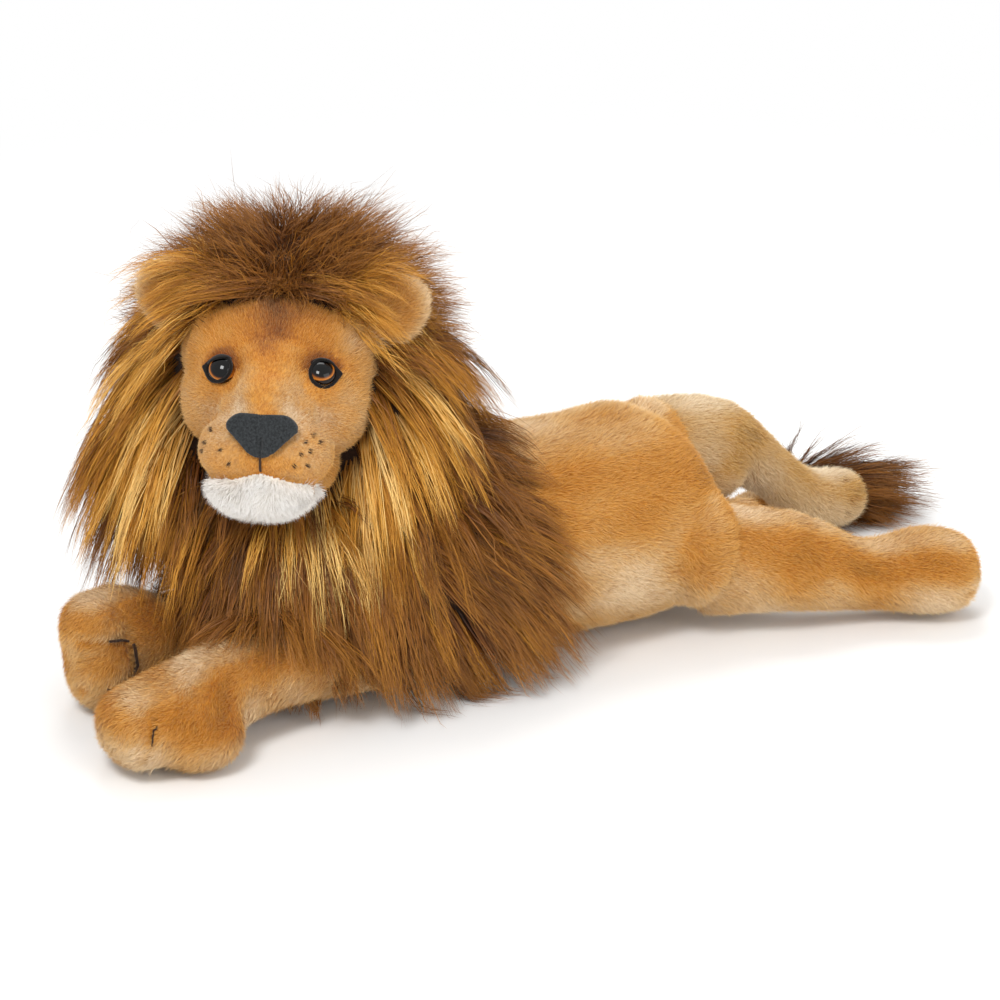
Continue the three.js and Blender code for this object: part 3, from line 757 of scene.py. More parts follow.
@dataclass
class Ribbons:
    """Many strands as thin tapered ribbons, made into one mesh.

    Attributes:
        lines: Places along each strand, in metres: strand, step and place.
        across: Unit vectors across each strand at each step.
        width: Each strand's width at its root, in metres.
        tones: Each strand's shade, from 0 to 1.
    """

    lines: Points
    across: Points
    width: Points
    tones: Points

    def build(self, name: str, material: Material) -> Mesh:
        """Makes the mesh object.

        Args:
            name: The piece's name.
            material: Its material.

        Returns:
            The new object.
        """
        count, steps = self.lines.shape[:2]
        share = np.arange(steps) / (steps - 1)
        half = 0.5 * self.width[:, None] * (1 - share[None] ** 1.6 * 0.85)
        body = slice(0, steps - 1)
        sideways = self.across[:, body] * half[:, body, None]
        left, right = self.lines[:, body] - sideways, self.lines[:, body] + sideways
        each = 2 * (steps - 1) + 1
        places = np.empty((count, each, 3))
        places[:, 0:-1:2], places[:, 1:-1:2], places[:, -1] = left, right, self.lines[:, -1]
        quads = [at + corner for at in range(0, 2 * (steps - 2), 2) for corner in (0, 1, 3, 2)]
        pattern = np.array([*quads, each - 3, each - 2, each - 1])
        corners = (np.arange(count)[:, None] * each + pattern[None]).ravel()
        size = np.tile([4] * (steps - 2) + [3], count)
        mesh = bpy.data.meshes.new(name)
        mesh.vertices.add(count * each)
        mesh.loops.add(len(corners))
        mesh.polygons.add(len(size))
        mesh.vertices.foreach_set("co", places.astype(np.float32).ravel())
        mesh.loops.foreach_set("vertex_index", corners.astype(np.int32))
        mesh.polygons.foreach_set("loop_start", np.concatenate([[0], np.cumsum(size)[:-1]]).astype(np.int32))
        mesh.polygons.foreach_set("loop_total", size.astype(np.int32))
        mesh.update(calc_edges=True)
        tone = np.clip(self.tones, 0.02, 0.98)
        level = 0.02 + 0.96 * share
        shade = np.empty((count, each, 2))
        edge = 0.006
        shade[:, 0:-1:2, 0], shade[:, 1:-1:2, 0] = tone[:, None] - edge, tone[:, None] + edge
        shade[:, 0:-1:2, 1] = shade[:, 1:-1:2, 1] = level[None, :-1]
        shade[:, -1, 0], shade[:, -1, 1] = tone, level[-1]
        layer = mesh.uv_layers.new(name=SHADE_MAP)
        layer.uv.foreach_set("vector", shade.reshape(-1, 2)[corners].astype(np.float32).ravel())
        mesh.shade_smooth()
        mesh.materials.append(material)
        return add_object(name, mesh)

    def only(self, some: slice) -> "Ribbons":
        """Gives some of the strands."""
        return Ribbons(self.lines[some], self.across[some], self.width[some], self.tones[some])

    def build_parts(self, name: str, material: Material, most: int = 150000) -> list[Mesh]:
        """Makes numbered mesh objects of the strands, with at most so many strands in each."""
        parts = math.ceil(len(self.lines) / most)
        shares = [self.only(slice(part, None, parts)) for part in range(parts)]
        return [share.build(f"{name}_{index + 1}", material) for index, share in enumerate(shares)]


@dataclass
class Roots:
    """Where strands grow: their places and the skin's outward directions there."""

    places: Points
    outward: Points

    def only(self, keep: Points) -> "Roots":
        """Gives the roots that are kept."""
        return Roots(self.places[keep], self.outward[keep])

    @staticmethod
    def over(skin: Mesh, density: float, seed: int) -> "Roots":
        """Scatters roots evenly over a skin.

        Args:
            skin: The mesh that they grow on.
            density: How many there are on a square millimetre.
            seed: What the places are drawn from.

        Returns:
            The roots.
        """
        mesh = skin.data
        mesh.calc_loop_triangles()
        corners = np.empty(len(mesh.loop_triangles) * 3, np.int32)
        mesh.loop_triangles.foreach_get("vertices", corners)
        corners = corners.reshape(-1, 3)
        places, outward = coordinates(skin)[corners], normals(skin)[corners]
        area = np.linalg.norm(np.cross(places[:, 1] - places[:, 0], places[:, 2] - places[:, 0]), axis=1) / 2
        draw = np.random.default_rng(seed)
        count = int(area.sum() / MM ** 2 * density)
        spot = (np.arange(count) + draw.random(count)) / count * area.sum()
        face = np.searchsorted(np.cumsum(area), spot).clip(0, len(area) - 1)
        first, second = draw.random(count), draw.random(count)
        flip = first + second > 1
        first[flip], second[flip] = 1 - first[flip], 1 - second[flip]
        weights = np.stack([1 - first - second, first, second], 1)[:, :, None]
        return Roots((places[face] * weights).sum(1), unit((outward[face] * weights).sum(1)))


@dataclass(frozen=True)
class Nap:
    """How short pile stands on a skin.

    Attributes:
        length: The strands' mean length, in millimetres.
        width: Their width at the root, in millimetres. Real fibre is finer than the render
            can show, so one ribbon stands for a small tuft.
        density: Strands on a square millimetre.
        lift: How steeply they stand at the root, in degrees.
        tousle: How far neighbours lie astray, as a share.
    """

    length: float
    width: float
    density: float
    lift: float
    tousle: float = 0.25

    def grow(
        self, roots: Roots, comb: Points, tones: Points, seed: int, lengths: Points | float = 1.0,
    ) -> Ribbons:
        """Grows the pile.

        Args:
            roots: Where the strands grow.
            comb: The way that they are brushed, at each root.
            tones: Their shades.
            seed: What their differences are drawn from.
            lengths: Each strand's length as a share of the mean.

        Returns:
            The strands.
        """
        draw = np.random.default_rng(seed)
        count = len(roots.places)
        normal = roots.outward
        stray = Ripple(22, seed).at(roots.places) * self.tousle + draw.normal(0, self.tousle * 0.8, (count, 3))
        way = unit(comb) + stray
        way = unit(way - (way * normal).sum(1, keepdims=True) * normal)
        lift = np.radians(self.lift + draw.normal(0, 9, count))[:, None]
        along = way * np.cos(lift) + normal * np.sin(lift)
        length = self.length * MM * draw.uniform(0.65, 1.25, count) * lengths
        start = roots.places - normal * 0.6 * MM
        lines = np.stack([start, start + along * length[:, None]], 1)
        lines[:, :, 2] = np.maximum(lines[:, :, 2], 0.25 * MM)
        side = turn_about(unit(np.cross(along, normal)), along, draw.normal(0, 0.55, count))
        across = np.repeat(side[:, None], 2, 1)
        width = self.width * MM * draw.uniform(0.75, 1.25, count)
        return Ribbons(lines, across, width, tones + draw.normal(0, 0.055, count))


# The head's own frame


@dataclass(frozen=True)
class HeadFrame:
    """The frame that the face looks along: forward, toward the lion's left, and up.

    Attributes:
        centre: Its origin, in millimetres.
        yaw: The head's turn to its left, in degrees.
        pitch: How far the face looks up, in degrees.
        roll: How far the head tips sideways, in degrees.
    """

    centre: Triple = (-179.0, -1.0, 196.0)
    yaw: float = 61.0
    pitch: float = 13.0
    roll: float = 2.0

    def matrix(self) -> Points:
        """Gives the turn from forward, left and up to the lion's own X, Y and Z."""
        turn = (
            Matrix.Rotation(math.radians(self.yaw), 3, "Z")
            @ Matrix.Rotation(math.radians(self.pitch), 3, "Y")
            @ Matrix.Rotation(math.radians(self.roll), 3, "X")
        )
        return np.array(turn) @ np.diag([-1.0, -1.0, 1.0])

    def place(self, local: Points | Triple | list) -> Points:
        """Turns places in the head's frame, in millimetres, into metres in the lion's."""
        return (np.asarray(local, float) @ self.matrix().T + np.array(self.centre)) * MM

    def way(self, local: Points | Triple) -> Points:
        """Turns directions in the head's frame into the lion's."""
        return np.asarray(local, float) @ self.matrix().T

    def local(self, places: Points) -> Points:
        """Turns places in metres into the head's frame, in millimetres."""
        return (places / MM - np.array(self.centre)) @ self.matrix()

    def local_way(self, ways: Points) -> Points:
        """Turns directions of the lion's frame into the head's."""
        return ways @ self.matrix()

    def ellipsoid(self, middle: Triple, radii: Triple) -> Mesh:
        """Adds one form of stuffing that lies along this frame, with its sizes in millimetres."""
        return ellipsoid(tuple(self.place(middle) / MM), radii, Matrix(self.matrix().tolist()))


HEAD = HeadFrame()


# Stuffed parts


Section = tuple[float, float, float, float, float]


def along_route(route: tuple[Section, ...], count: int) -> list[tuple[Points, Points, float, float]]:
    """Steps evenly along a smooth route through sections.

    Args:
        route: Each section's middle, half width and half height.
        count: How many steps there are.

    Returns:
        For each step its place and direction, and its half width and half height.
    """
    data = np.array(route, float)
    found = []
    for step in range(count):
        spot = step / (count - 1) * (len(data) - 1)
        low = min(int(spot), len(data) - 2)
        share = spot - low
        before, first, second, after = (data[np.clip(low + k, 0, len(data) - 1)] for k in (-1, 0, 1, 2))
        squared = 2 * before - 5 * first + 4 * second - after
        cubed = 3 * first - before - 3 * second + after
        value = 0.5 * (2 * first + (second - before) * share + squared * share ** 2 + cubed * share ** 3)
        slope = 0.5 * ((second - before) + 2 * squared * share + 3 * cubed * share ** 2)
        found.append((value[:3], unit(slope[:3]), float(value[3]), float(value[4])))
    return found


BODY_NAP = Nap(length=6.6, width=0.5, density=1.8, lift=22, tousle=0.3)
LIMB_NAP = Nap(length=6.4, width=0.5, density=1.8, lift=22, tousle=0.3)


@dataclass
class StuffedPart:
    """A sewn part: a padded skin of pile fabric and the pile on it.

    Attributes:
        name: The name of the body that it rides on, and the start of its pieces' names.
        route: The sections of its form: middle, half width and half height, in millimetres.
        slot: The record's slot of its finish; it is not used.
        finish: Its pile.
        nap: How its pile stands.
        lumps: Further forms of stuffing: middle and half sizes, in millimetres.
        creases: Where its seams and stitches draw it in.
        stitches: The threads that show.
        patches: How much paler or darker the pile is round some places: middle, radius and shift.
        bend: Where its joint starts and ends, in millimetres, if it has one; nothing bends there.
        stamps: How many forms its route is made of.
        cap: How far the filling may push the skin, in millimetres.
        seed: What its pile is drawn from.
        shrink: How far its skin lies inside the sizes of its route, for the pile, in millimetres.
        hidden: Tells which roots something else covers, if anything does.
    """

    name: str
    route: tuple[Section, ...]
    slot: str = "tan_pile"
    finish: Pile = TAN_PILE
    nap: Nap = LIMB_NAP
    lumps: Forms = ()
    creases: tuple[Crease, ...] = ()
    stitches: tuple[Stitch, ...] = ()
    patches: dict[tuple[Triple, float], float] = field(default_factory=dict)
    bend: tuple[Triple, Triple] | None = None
    stamps: int = 16
    cap: float = 4.0
    seed: int = 1
    shrink: float = 5.5
    hidden: Callable[[Points], Points] | None = None

    def form(self) -> Mesh:
        """Makes the padded skin."""
        parts = []
        steps = along_route(self.route, self.stamps)
        gaps = [np.linalg.norm(after[0] - before[0]) for before, after in zip(steps, steps[1:])]
        for index, (middle, way, width, height) in enumerate(steps):
            side = unit(np.cross(np.array([0.0, 0.0, 1.0]), way))
            turn = Matrix(np.stack([way, side, np.cross(way, side)], 1).tolist())
            long = min(max(1.6 * gaps[min(index, len(gaps) - 1)], 0.5 * width), width)
            parts.append(ellipsoid(tuple(middle), (long, width - self.shrink, height - self.shrink), turn))
        parts += [ellipsoid(middle, radii) for middle, radii in self.lumps]
        skin = fuse(f"{self.name}_skin", parts, voxel=5.0, smoothing=6)
        rest_on_floor(skin)
        held = np.zeros(len(skin.data.vertices))
        for crease in self.creases:
            held = np.maximum(held, crease.hold(coordinates(skin)))
        inflate(skin, pressure=4.0, cap=self.cap, sewn=held if self.creases else None)
        refine(skin)
        for crease in self.creases:
            crease.press(skin)
        rest_on_floor(skin)
        skin.data.shade_smooth()
        return skin

    def comb(self, places: Points) -> Points:
        """Gives the way that the pile is brushed: along the route, and down the sides."""
        steps = along_route(self.route, 24)
        middles = metres([step[0] for step in steps])
        ways = np.array([step[1] for step in steps])
        nearest = np.linalg.norm(places[:, None] - middles[None], axis=2).argmin(1)
        return ways[nearest] + np.array([0, 0, -0.35])

    def tones(self, places: Points, outward: Points) -> Points:
        """Gives the pile's shade: richer on top, paler at the sides and below."""
        up = outward[:, 2]
        tone = 0.68 - 0.34 * smooth_step(up, -0.15, 0.5) + 0.42 * smooth_step(up, 0.68, 0.98)
        tone += 0.08 * smooth_step(-up, 0.0, 0.8) + 0.12 * Ripple(48, self.seed + 7).at(places)[:, 0]
        # Painted shade: the pile is darkened along the creases.
        for crease in self.creases:
            tone -= crease.shade * crease.hold(places)
        for (middle, radius), shift in self.patches.items():
            away = np.linalg.norm(places - metres(middle), axis=1)
            tone += shift * np.exp(-((away / (radius * MM)) ** 2))
        return tone

    def hold(self, piece: Mesh) -> None:
        """Makes a piece ride on the part's body; a part with a joint only has the piece's place baked in."""
        body = Body(self.name).value
        if self.bend:
            start, end = (tuple(metres(place)) for place in self.bend)
            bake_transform(piece)
            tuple(start)
            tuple(end)
        else:
            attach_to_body(piece, body)

    def build(self) -> None:
        """Makes the skin and its pile."""
        skin = self.form()
        material = self.finish.build()
        dress(skin, material)
        colour_skin(skin, self.tones(coordinates(skin), normals(skin)), self.seed)
        roots = Roots.over(skin, self.nap.density, self.seed)
        keep = roots.places[:, 2] > 1.5 * MM
        if self.hidden:
            keep &= ~self.hidden(roots.places)
        roots = roots.only(keep)
        pile = self.nap.grow(roots, self.comb(roots.places), self.tones(roots.places, roots.outward), self.seed)
        for piece in (skin, *pile.build_parts(f"{self.name}_pile", material)):
            self.hold(piece)
        for number, stitch in enumerate(self.stitches, 1):
            attach(Body(self.name), "lid_felt", stitch.build(skin, f"{self.name}_thread_{number}"))
        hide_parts(f"{self.name}_cover", f"{self.name}_filling")
        LOG.info("%s: %d faces of skin, %d strands", self.name, len(skin.data.polygons), len(roots.places))


def under_mane(places: Points) -> Points:
    """Tells which roots of the torso's pile the mane covers."""
    return places[:, 0] < -95 * MM


def body_parts() -> list[StuffedPart]:
    """Lists the torso, the legs and the tail, with their sizes."""
    torso = StuffedPart(
        name="torso", nap=BODY_NAP, stamps=26, seed=11, hidden=under_mane,
        route=(
            (-150, 0, 84, 50, 46), (-120, 0, 77, 64, 62), (-75, 0, 74, 75, 73), (-25, 0, 73.5, 77, 75),
            (30, 0, 74, 76, 75), (62, 2, 76, 71, 77), (78, 6, 81, 60, 71), (86, 8, 84, 44, 55),
        ),
        lumps=(((86, -44, 61), (27, 34, 40)), ((88, 30, 96), (26, 32, 40))),
        creases=(Crease(((52, -78, 88), (50, -80, 66), (56, -78, 40)), width=9, depth=3.0, shade=0.06),),
        patches={
            ((60, -75, 62), 22.0): -0.16, ((98, -62, 60), 16.0): -0.1, ((84, -70, 84), 14.0): 0.16,
            ((6, -76, 60), 52.0): 0.1, ((-40, -70, 104), 34.0): -0.16, ((36, -40, 138), 26.0): -0.14,
        },
    )
    front_left = StuffedPart(
        name="front_leg_left", seed=21, bend=((-95, -44, 40), (-150, -49, 32)),
        route=(
            (-105, -44, 40, 38, 38), (-160, -50, 38, 33, 33), (-214, -62, 41, 31, 31),
            (-250, -70, 38, 32, 33), (-285, -80, 32, 38, 32), (-310, -84, 29, 36, 29),
        ),
        lumps=(((-272, -92, 22), (28, 28, 21)),),
        creases=(
            Crease(((-303, -106, 50), (-306, -110, 36), (-309, -108, 20)), width=2.8, depth=3.0, shade=0.3),
        ),
        stitches=(Stitch(((-305, -112, 42), (-307, -112, 35), (-308, -111, 30)), radius=0.6, lift=1.6),),
        patches={((-285, -112, 36), 22.0): -0.1, ((-330, -90, 20), 26.0): 0.16, ((-262, -98, 20), 26.0): 0.2},
    )
    front_right = StuffedPart(
        name="front_leg_right", seed=22, bend=((-95, 36, 40), (-150, 34, 34)),
        route=(
            (-105, 36, 40, 34, 34), (-160, 34, 34, 30, 30), (-214, 29, 30, 27, 29),
            (-257, 22, 34, 27, 34), (-288, 19, 41, 30, 41), (-303, 18, 38, 27, 37),
        ),
        lumps=(((-298, 8, 30), (22, 24, 29)), ((-302, 10, 54), (19, 22, 22))),
        creases=(
            Crease(
                ((-330, 8, 56), (-322, -4, 57), (-309, -8, 55), (-283, -7, 49)),
                width=2.6, depth=2.2, shade=0.34,
            ),
            Crease(
                ((-326, 6, 22), (-318, -4, 22), (-300, -8, 26), (-285, -7, 30)),
                width=2.6, depth=2.2, shade=0.3,
            ),
            Crease(((-282, -6, 60), (-281, -7, 40), (-279, -5, 20)), width=3.6, depth=4.5, shade=0.35),
        ),
        stitches=(
            Stitch(((-299, -8, 54), (-283, -7, 49))),
            Stitch(((-300, -8, 26), (-292, -8, 26), (-285, -7, 31))),
            Stitch(((-281, -7, 46), (-279, -7, 28)), radius=1.0),
        ),
        patches={((-292, -8, 40), 15.0): -0.2, ((-300, -4, 74), 22.0): 0.25},
    )
    hind_left = StuffedPart(
        name="hind_leg_left", seed=23, bend=((100, -44, 47), (165, -60, 32)),
        route=(
            (100, -42, 48, 36, 42), (144, -57, 45, 37, 38), (184, -67, 33, 31, 29),
            (208, -74, 31, 31, 28), (234, -82, 32, 37, 33), (252, -86, 30, 36, 31),
        ),
        creases=(Crease(((216, -116, 26), (240, -118, 24), (272, -108, 26)), width=2.6, depth=2.4, shade=0.3),),
        patches={((150, -88, 60), 22.0): -0.12, ((180, -90, 50), 12.0): -0.1, ((240, -100, 12), 28.0): 0.15},
    )
    hind_right = StuffedPart(
        name="hind_leg_right", slot="fawn_pile", finish=FAWN_PILE, seed=24,
        bend=((100, 44, 86), (165, 55, 80)),
        route=(
            (108, 42, 93, 38, 42), (144, 47, 94, 33, 34), (170, 51, 79, 27, 28), (197, 56, 58, 25, 23),
            (222, 60, 37, 24, 23), (248, 64, 27, 26, 26), (262, 66, 26, 25, 24),
        ),
        lumps=(((139, 38, 76), (24, 26, 20)),),
        patches={((118, 40, 128), 40.0): 0.1, ((150, 22, 95), 26.0): -0.2},
    )
    tail = StuffedPart(
        name="tail", stamps=44, cap=1.5, seed=25, shrink=1.0, bend=((140, -2, 76), (165, 4, 55)),
        route=(
            (118, -2, 60, 12, 12), (140, -1, 58, 12, 12), (158, 3, 47, 12, 12), (173, 14, 29, 12, 12),
            (180, 42, 14, 12, 12), (189, 77, 13, 12, 12), (206, 101, 13, 12, 12), (238, 108, 15, 12, 12),
        ),
    )
    return [torso, front_left, front_right, hind_left, hind_right, tail]


# The head


@dataclass(frozen=True)
class Muzzle:
    """Where the features of the face lie in the head's frame, in millimetres.

    Attributes:
        nose: The point that the face's pile is brushed away from.
        lip_middle: The height of the lip's seam under the nose.
        lip_knee: How far out the seam falls steeply.
        lip_slopes: How steeply it falls before and after that.
        thread_top: Where the stitch under the nose starts, as a height.
        chin_sides: Where the white chin ends on the lion's right and left.
        whiskers: Sideways places and heights of the whisker marks.
    """

    nose: Triple = (84.0, 0.0, -16.0)
    lip_middle: float = -41.5
    lip_knee: float = 18.0
    lip_slopes: tuple[float, float] = (0.32, 0.12)
    thread_top: float = -33.0
    chin_sides: tuple[float, float] = (-33.0, 27.0)
    whiskers: tuple[tuple[float, float], ...] = (
        (-30, -18.5), (-33, -26), (-35, -31), (-22, -28.5), (-17.5, -36),
        (28, -18), (32, -22), (23.5, -21.5), (27, -26.5), (22, -28.5), (18.5, -35), (26, -35),
    )

    def lip(self, sideways: Points) -> Points:
        """Gives the height of the lip's seam at places across the face."""
        out = np.abs(sideways)
        near, far = self.lip_slopes
        knee = self.lip_knee
        return self.lip_middle - near * np.minimum(out, knee) - far * np.maximum(out - knee, 0)

    def on_chin(self, local: Points, gap: float = 0.0) -> Points:
        """Tells which places in the head's frame lie on the white chin.

        Args:
            local: The places, in millimetres.
            gap: How far below the lip's seam it starts, in millimetres.

        Returns:
            True where the chin is.
        """
        out, up = local[:, 1], local[:, 2]
        right, left = self.chin_sides
        between = (out > right + 0.25 * (up + 48)) & (out < left - 0.25 * (up + 48))
        return (up < self.lip(out) - gap) & (local[:, 0] > 23) & between


@dataclass(frozen=True)
class Socket:
    """Where one eye sits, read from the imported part, in metres.

    Attributes:
        name: The side's name.
        side: 1 for the lion's left, -1 for its right.
        middle: The middle of the eye's rim.
        axis: The eye's line of sight.
        radius: The eye's radius.
        dome: How far its front stands out from its rim.
    """

    name: str
    side: int
    middle: Points
    axis: Points
    radius: float
    dome: float

    @property
    def turn(self) -> Euler:
        """The turn of the eye, whose own Z is its line of sight."""
        return Vector(self.axis).to_track_quat("Z", "Y").to_euler()

    @staticmethod
    def read(name: str, side: int) -> "Socket":
        """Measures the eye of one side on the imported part."""
        eye = coordinates(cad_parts[f"eye_{name}"])
        washer = coordinates(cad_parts[f"eye_washer_{name}"])
        middle = (eye.min(0) + eye.max(0)) / 2
        axis = unit(middle - (washer.min(0) + washer.max(0)) / 2)
        along = (eye - middle) @ axis
        away = np.linalg.norm(eye - middle - along[:, None] * axis, axis=1)
        rim = along[away > 0.97 * away.max()].max()
        return Socket(name, side, middle + rim * axis, axis, float(away.max()), float(along.max() - rim))


@dataclass
class Head:
    """The stuffed head with its face, without the mane.

    Attributes:
        stuffing: Middles and half sizes of the forms under its skin, in the head's frame.
        muzzle: The places of its features.
        nap: How the shaved pile of the face stands.
        chin_nap: How the white pile of the chin stands.
        ear_nap: How the pile of the ears stands.
        nose_rise: How far the soft nose is pushed up by the muzzle, in millimetres.
        nose_swell: How much its foam fills it out.
        fold_gap: The gap between the eye and the lid's fold, in millimetres.
        fold_edge: The fold's edge across the eye: its height, slant and arch, in eye radii.
        eye_share: How far the eye is drawn in by its socket.
        ring_share: How far the felt ring is drawn in round the eye.
        ring_lift: How far the ring stands forward on the eye, in millimetres.
        paler: Paler spots of the face: shift, sideways place, height, half width and half height.
        ear_forms: Middles and half sizes of the forms under an ear's skin.
        ear_middle: The sideways place and height that an ear's cup is round.
        mark_fibres: How many fibres a whisker mark has.
        mark_nap: How they stand.
    """

    stuffing: Forms = (
        ((-8, 0, 4), (50, 55, 54)), ((14, 0, 20), (33, 48, 38)),
        ((4, 34, 22), (34, 25, 31)), ((4, -34, 22), (34, 25, 31)),
        ((13, 33, -6), (34, 23, 29)), ((13, -34, -6), (34, 23, 29)),
        ((48, -1, -33), (32, 40, 25)), ((59, 18, -31), (20, 20, 20)), ((59, -20, -31), (20, 20, 20)),
        ((38, 0, 14), (25, 24, 22)), ((54, 0, 2), (22, 20, 17)), ((65, 0, -11), (15, 18, 14)),
        ((50, 17, -9), (15, 12, 14)), ((50, -17, -9), (15, 12, 14)),
        ((54, -2, -54), (20, 31, 17)), ((15, 0, -43), (35, 38, 27)),
    )
    muzzle: Muzzle = Muzzle()
    nap: Nap = Nap(length=3.6, width=0.48, density=2.9, lift=19, tousle=0.2)
    chin_nap: Nap = Nap(length=6.6, width=0.44, density=4.2, lift=38, tousle=0.42)
    ear_nap: Nap = Nap(length=6.0, width=0.48, density=2.6, lift=22)
    nose_rise: float = 5.0
    nose_swell: float = 1.06
    fold_gap: float = 0.25
    fold_edge: Triple = (0.66, 0.28, 0.10)
    eye_share: float = 0.85
    ring_share: float = 0.83
    ring_lift: float = 1.0
    paler: tuple[tuple[float, ...], ...] = (
        (0.34, 14, 0, 8, 20), (0.12, 30, -8, 10, 9), (0.18, 46, -6, 14, 24), (0.22, 28, -30, 20, 20),
        (0.16, 20, -12, 14, 10),
    )
    ear_forms: Forms = (
        ((8, 50, 40), (9, 18, 17)), ((9, 64, 52), (9, 21, 21)), ((9, 70, 55), (8, 18, 18)),
    )
    ear_middle: tuple[float, float] = (64.0, 52.0)
    mark_fibres: int = 26
    mark_nap: Nap = Nap(length=3.8, width=0.5, density=0, lift=26, tousle=0.2)

    def skin(self, sockets: list[Socket]) -> Mesh:
        """Makes the padded skin with its eye sockets and the crease of the lip."""
        parts = [HEAD.ellipsoid(middle, radii) for middle, radii in self.stuffing]
        skin = fuse("head_skin", parts, voxel=2.6, smoothing=5)
        inflate(skin, pressure=4.0, cap=2.0)
        for socket in sockets:
            places = coordinates(skin)
            along = (places - socket.middle) @ socket.axis
            away = np.linalg.norm(places - socket.middle - along[:, None] * socket.axis, axis=1) / MM
            near = (1 - smooth_step(away, 9, 20)) * (np.abs(along) < 30 * MM)
            places += ((-0.8 * MM - along) * near)[:, None] * socket.axis
            move_to(skin, places)
        refine(skin)
        across = np.linspace(-36, 36, 25)
        reach = 60 + 14 * np.cos(across / 36 * 1.2)
        lip = np.stack([reach, across, self.muzzle.lip(across)], 1)
        Crease(tuple(map(tuple, HEAD.place(lip) / MM)), width=5.0, depth=2.6).press(skin)
        skin.data.shade_smooth()
        return skin

    def tones(self, local: Points, sockets: list[Socket]) -> Points:
        """Gives the shade of the face at places in the head's frame."""
        out, up = local[:, 1], local[:, 2]
        side = np.abs(out)

        def patch(across: float, height: float, wide: float, tall: float) -> Points:
            """Gives a soft spot on both sides of the face."""
            return np.exp(-(((side - across) / wide) ** 2) - ((up - height) / tall) ** 2)

        tone = np.full(len(local), 0.44)
        tone -= 0.24 * smooth_step(up, 16, 52) * np.exp(-((out / 26) ** 2))
        tone -= 0.10 * np.exp(-((out / 11) ** 2)) * smooth_step(up, 8, 40)
        tone += 0.30 * np.where(out > 0, 1.0, 0.3) * patch(46, 34, 8, 13)
        for shift, *spot in self.paler:
            tone += shift * patch(*spot)
        tone += 0.22 * smooth_step(side, 48, 60)
        for socket in sockets:
            eye = HEAD.local(socket.middle[None])[0]
            away = np.linalg.norm(local - eye, axis=1)
            tone -= 0.34 * np.exp(-(((away - 10) / 4.5) ** 2)) * (0.6 + 0.4 * np.sign(local[:, 2] - eye[2]))
        return tone + 0.05 * Ripple(18, 5).at(HEAD.place(local))[:, 0]

    def build_face(self, sockets: list[Socket]) -> Mesh:
        """Makes the skin, its shaved pile, the white chin and the whisker marks."""
        skin = self.skin(sockets)
        material = FACE_PILE.build()
        dress(skin, material)
        local = HEAD.local(coordinates(skin))
        colour_skin(skin, self.tones(local, sockets), 31)
        roots = Roots.over(skin, self.nap.density, 32)
        local = HEAD.local(roots.places)
        chin = self.muzzle.on_chin(local)
        keep = ~chin & (local[:, 0] > -12)
        for socket in sockets:
            keep &= np.linalg.norm(roots.places - socket.middle, axis=1) > socket.radius
        keep &= ~((np.abs(local[:, 1]) < 0.9) & (local[:, 2] < self.muzzle.thread_top) & (local[:, 0] > 50))
        face = roots.only(keep)
        where = HEAD.local(face.places)
        comb = HEAD.way(where - np.array(self.muzzle.nose))
        longer = 0.8 + 0.8 * smooth_step(70 - where[:, 0], 0, 60)
        pile = self.nap.grow(face, comb, self.tones(where, sockets), 33, longer).build("face_pile", material)
        panel = self.chin_panel(skin)
        white = WHITE_PILE.build()
        dress(panel, white)
        colour_skin(panel, np.full(len(panel.data.vertices), 0.55), 34)
        chin_roots = Roots.over(panel, self.chin_nap.density, 35)
        where = HEAD.local(chin_roots.places)
        chin_roots = chin_roots.only(self.muzzle.on_chin(where, 1.0))
        where = HEAD.local(chin_roots.places)
        down = HEAD.way(np.stack([0.1 + 0 * where[:, 0], 0.022 * where[:, 1], -1 + 0 * where[:, 0]], 1))
        # Painted shade: the white pile darkens toward the underside of the chin.
        tone = 0.8 - 0.25 * smooth_step(-where[:, 2], 62, 78) + 0.06 * Ripple(10, 9).at(chin_roots.places)[:, 0]
        chin_pile = self.chin_nap.grow(chin_roots, down, tone, 36).build("chin_pile", white)
        attach(Body.HEAD, "tan_pile", skin, pile)
        attach(Body.HEAD, "white_pile", panel, chin_pile)
        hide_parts("head_cover", "head_filling")
        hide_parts("chin_panel")
        LOG.info("face: %d strands, chin: %d strands", len(face.places), len(chin_roots.places))
        return skin

    def chin_panel(self, skin: Mesh) -> Mesh:
        """Cuts the white panel from a copy of the skin below the lip, and gives it cloth's thickness."""
        select(skin)
        bpy.ops.object.duplicate()
        panel = bpy.context.object
        panel.name = panel.data.name = "chin_skin"
        local = HEAD.local(read_triples(panel.data.polygons, "center"))
        panel.data.polygons.foreach_set("select", ~self.muzzle.on_chin(local, 0.5))
        delete_selected("FACE")
        thicken(panel, 0.9, 0.6)
        panel.data.shade_smooth()
        return panel

    def build_whiskers(self, skin: Mesh) -> None:
        """Makes the twelve whisker marks, short dark fibres pressed onto the muzzle."""
        draw = np.random.default_rng(41)
        tree = bvh(skin)
        forward = Vector(HEAD.way((1.0, 0.0, 0.0)))
        places, outward = [], []
        for across, height in self.muzzle.whiskers:
            for _ in range(self.mark_fibres):
                turn, far = draw.uniform(0, 2 * math.pi), math.sqrt(draw.random())
                spot = (110, across + 0.75 * far * math.cos(turn), height + 1.2 * far * math.sin(turn))
                hit = tree.ray_cast(Vector(HEAD.place(spot)), -forward)
                if hit[0] is not None:
                    places.append(hit[0])
                    outward.append(hit[1])
        roots = Roots(np.array(places), np.array(outward))
        comb = HEAD.way(HEAD.local(roots.places) - np.array(self.muzzle.nose))
        strands = self.mark_nap.grow(roots, comb, np.full(len(places), 0.3), 42)
        attach(Body.HEAD, "lid_felt", strands.build("whisker_marks", MARK_PILE.build()))

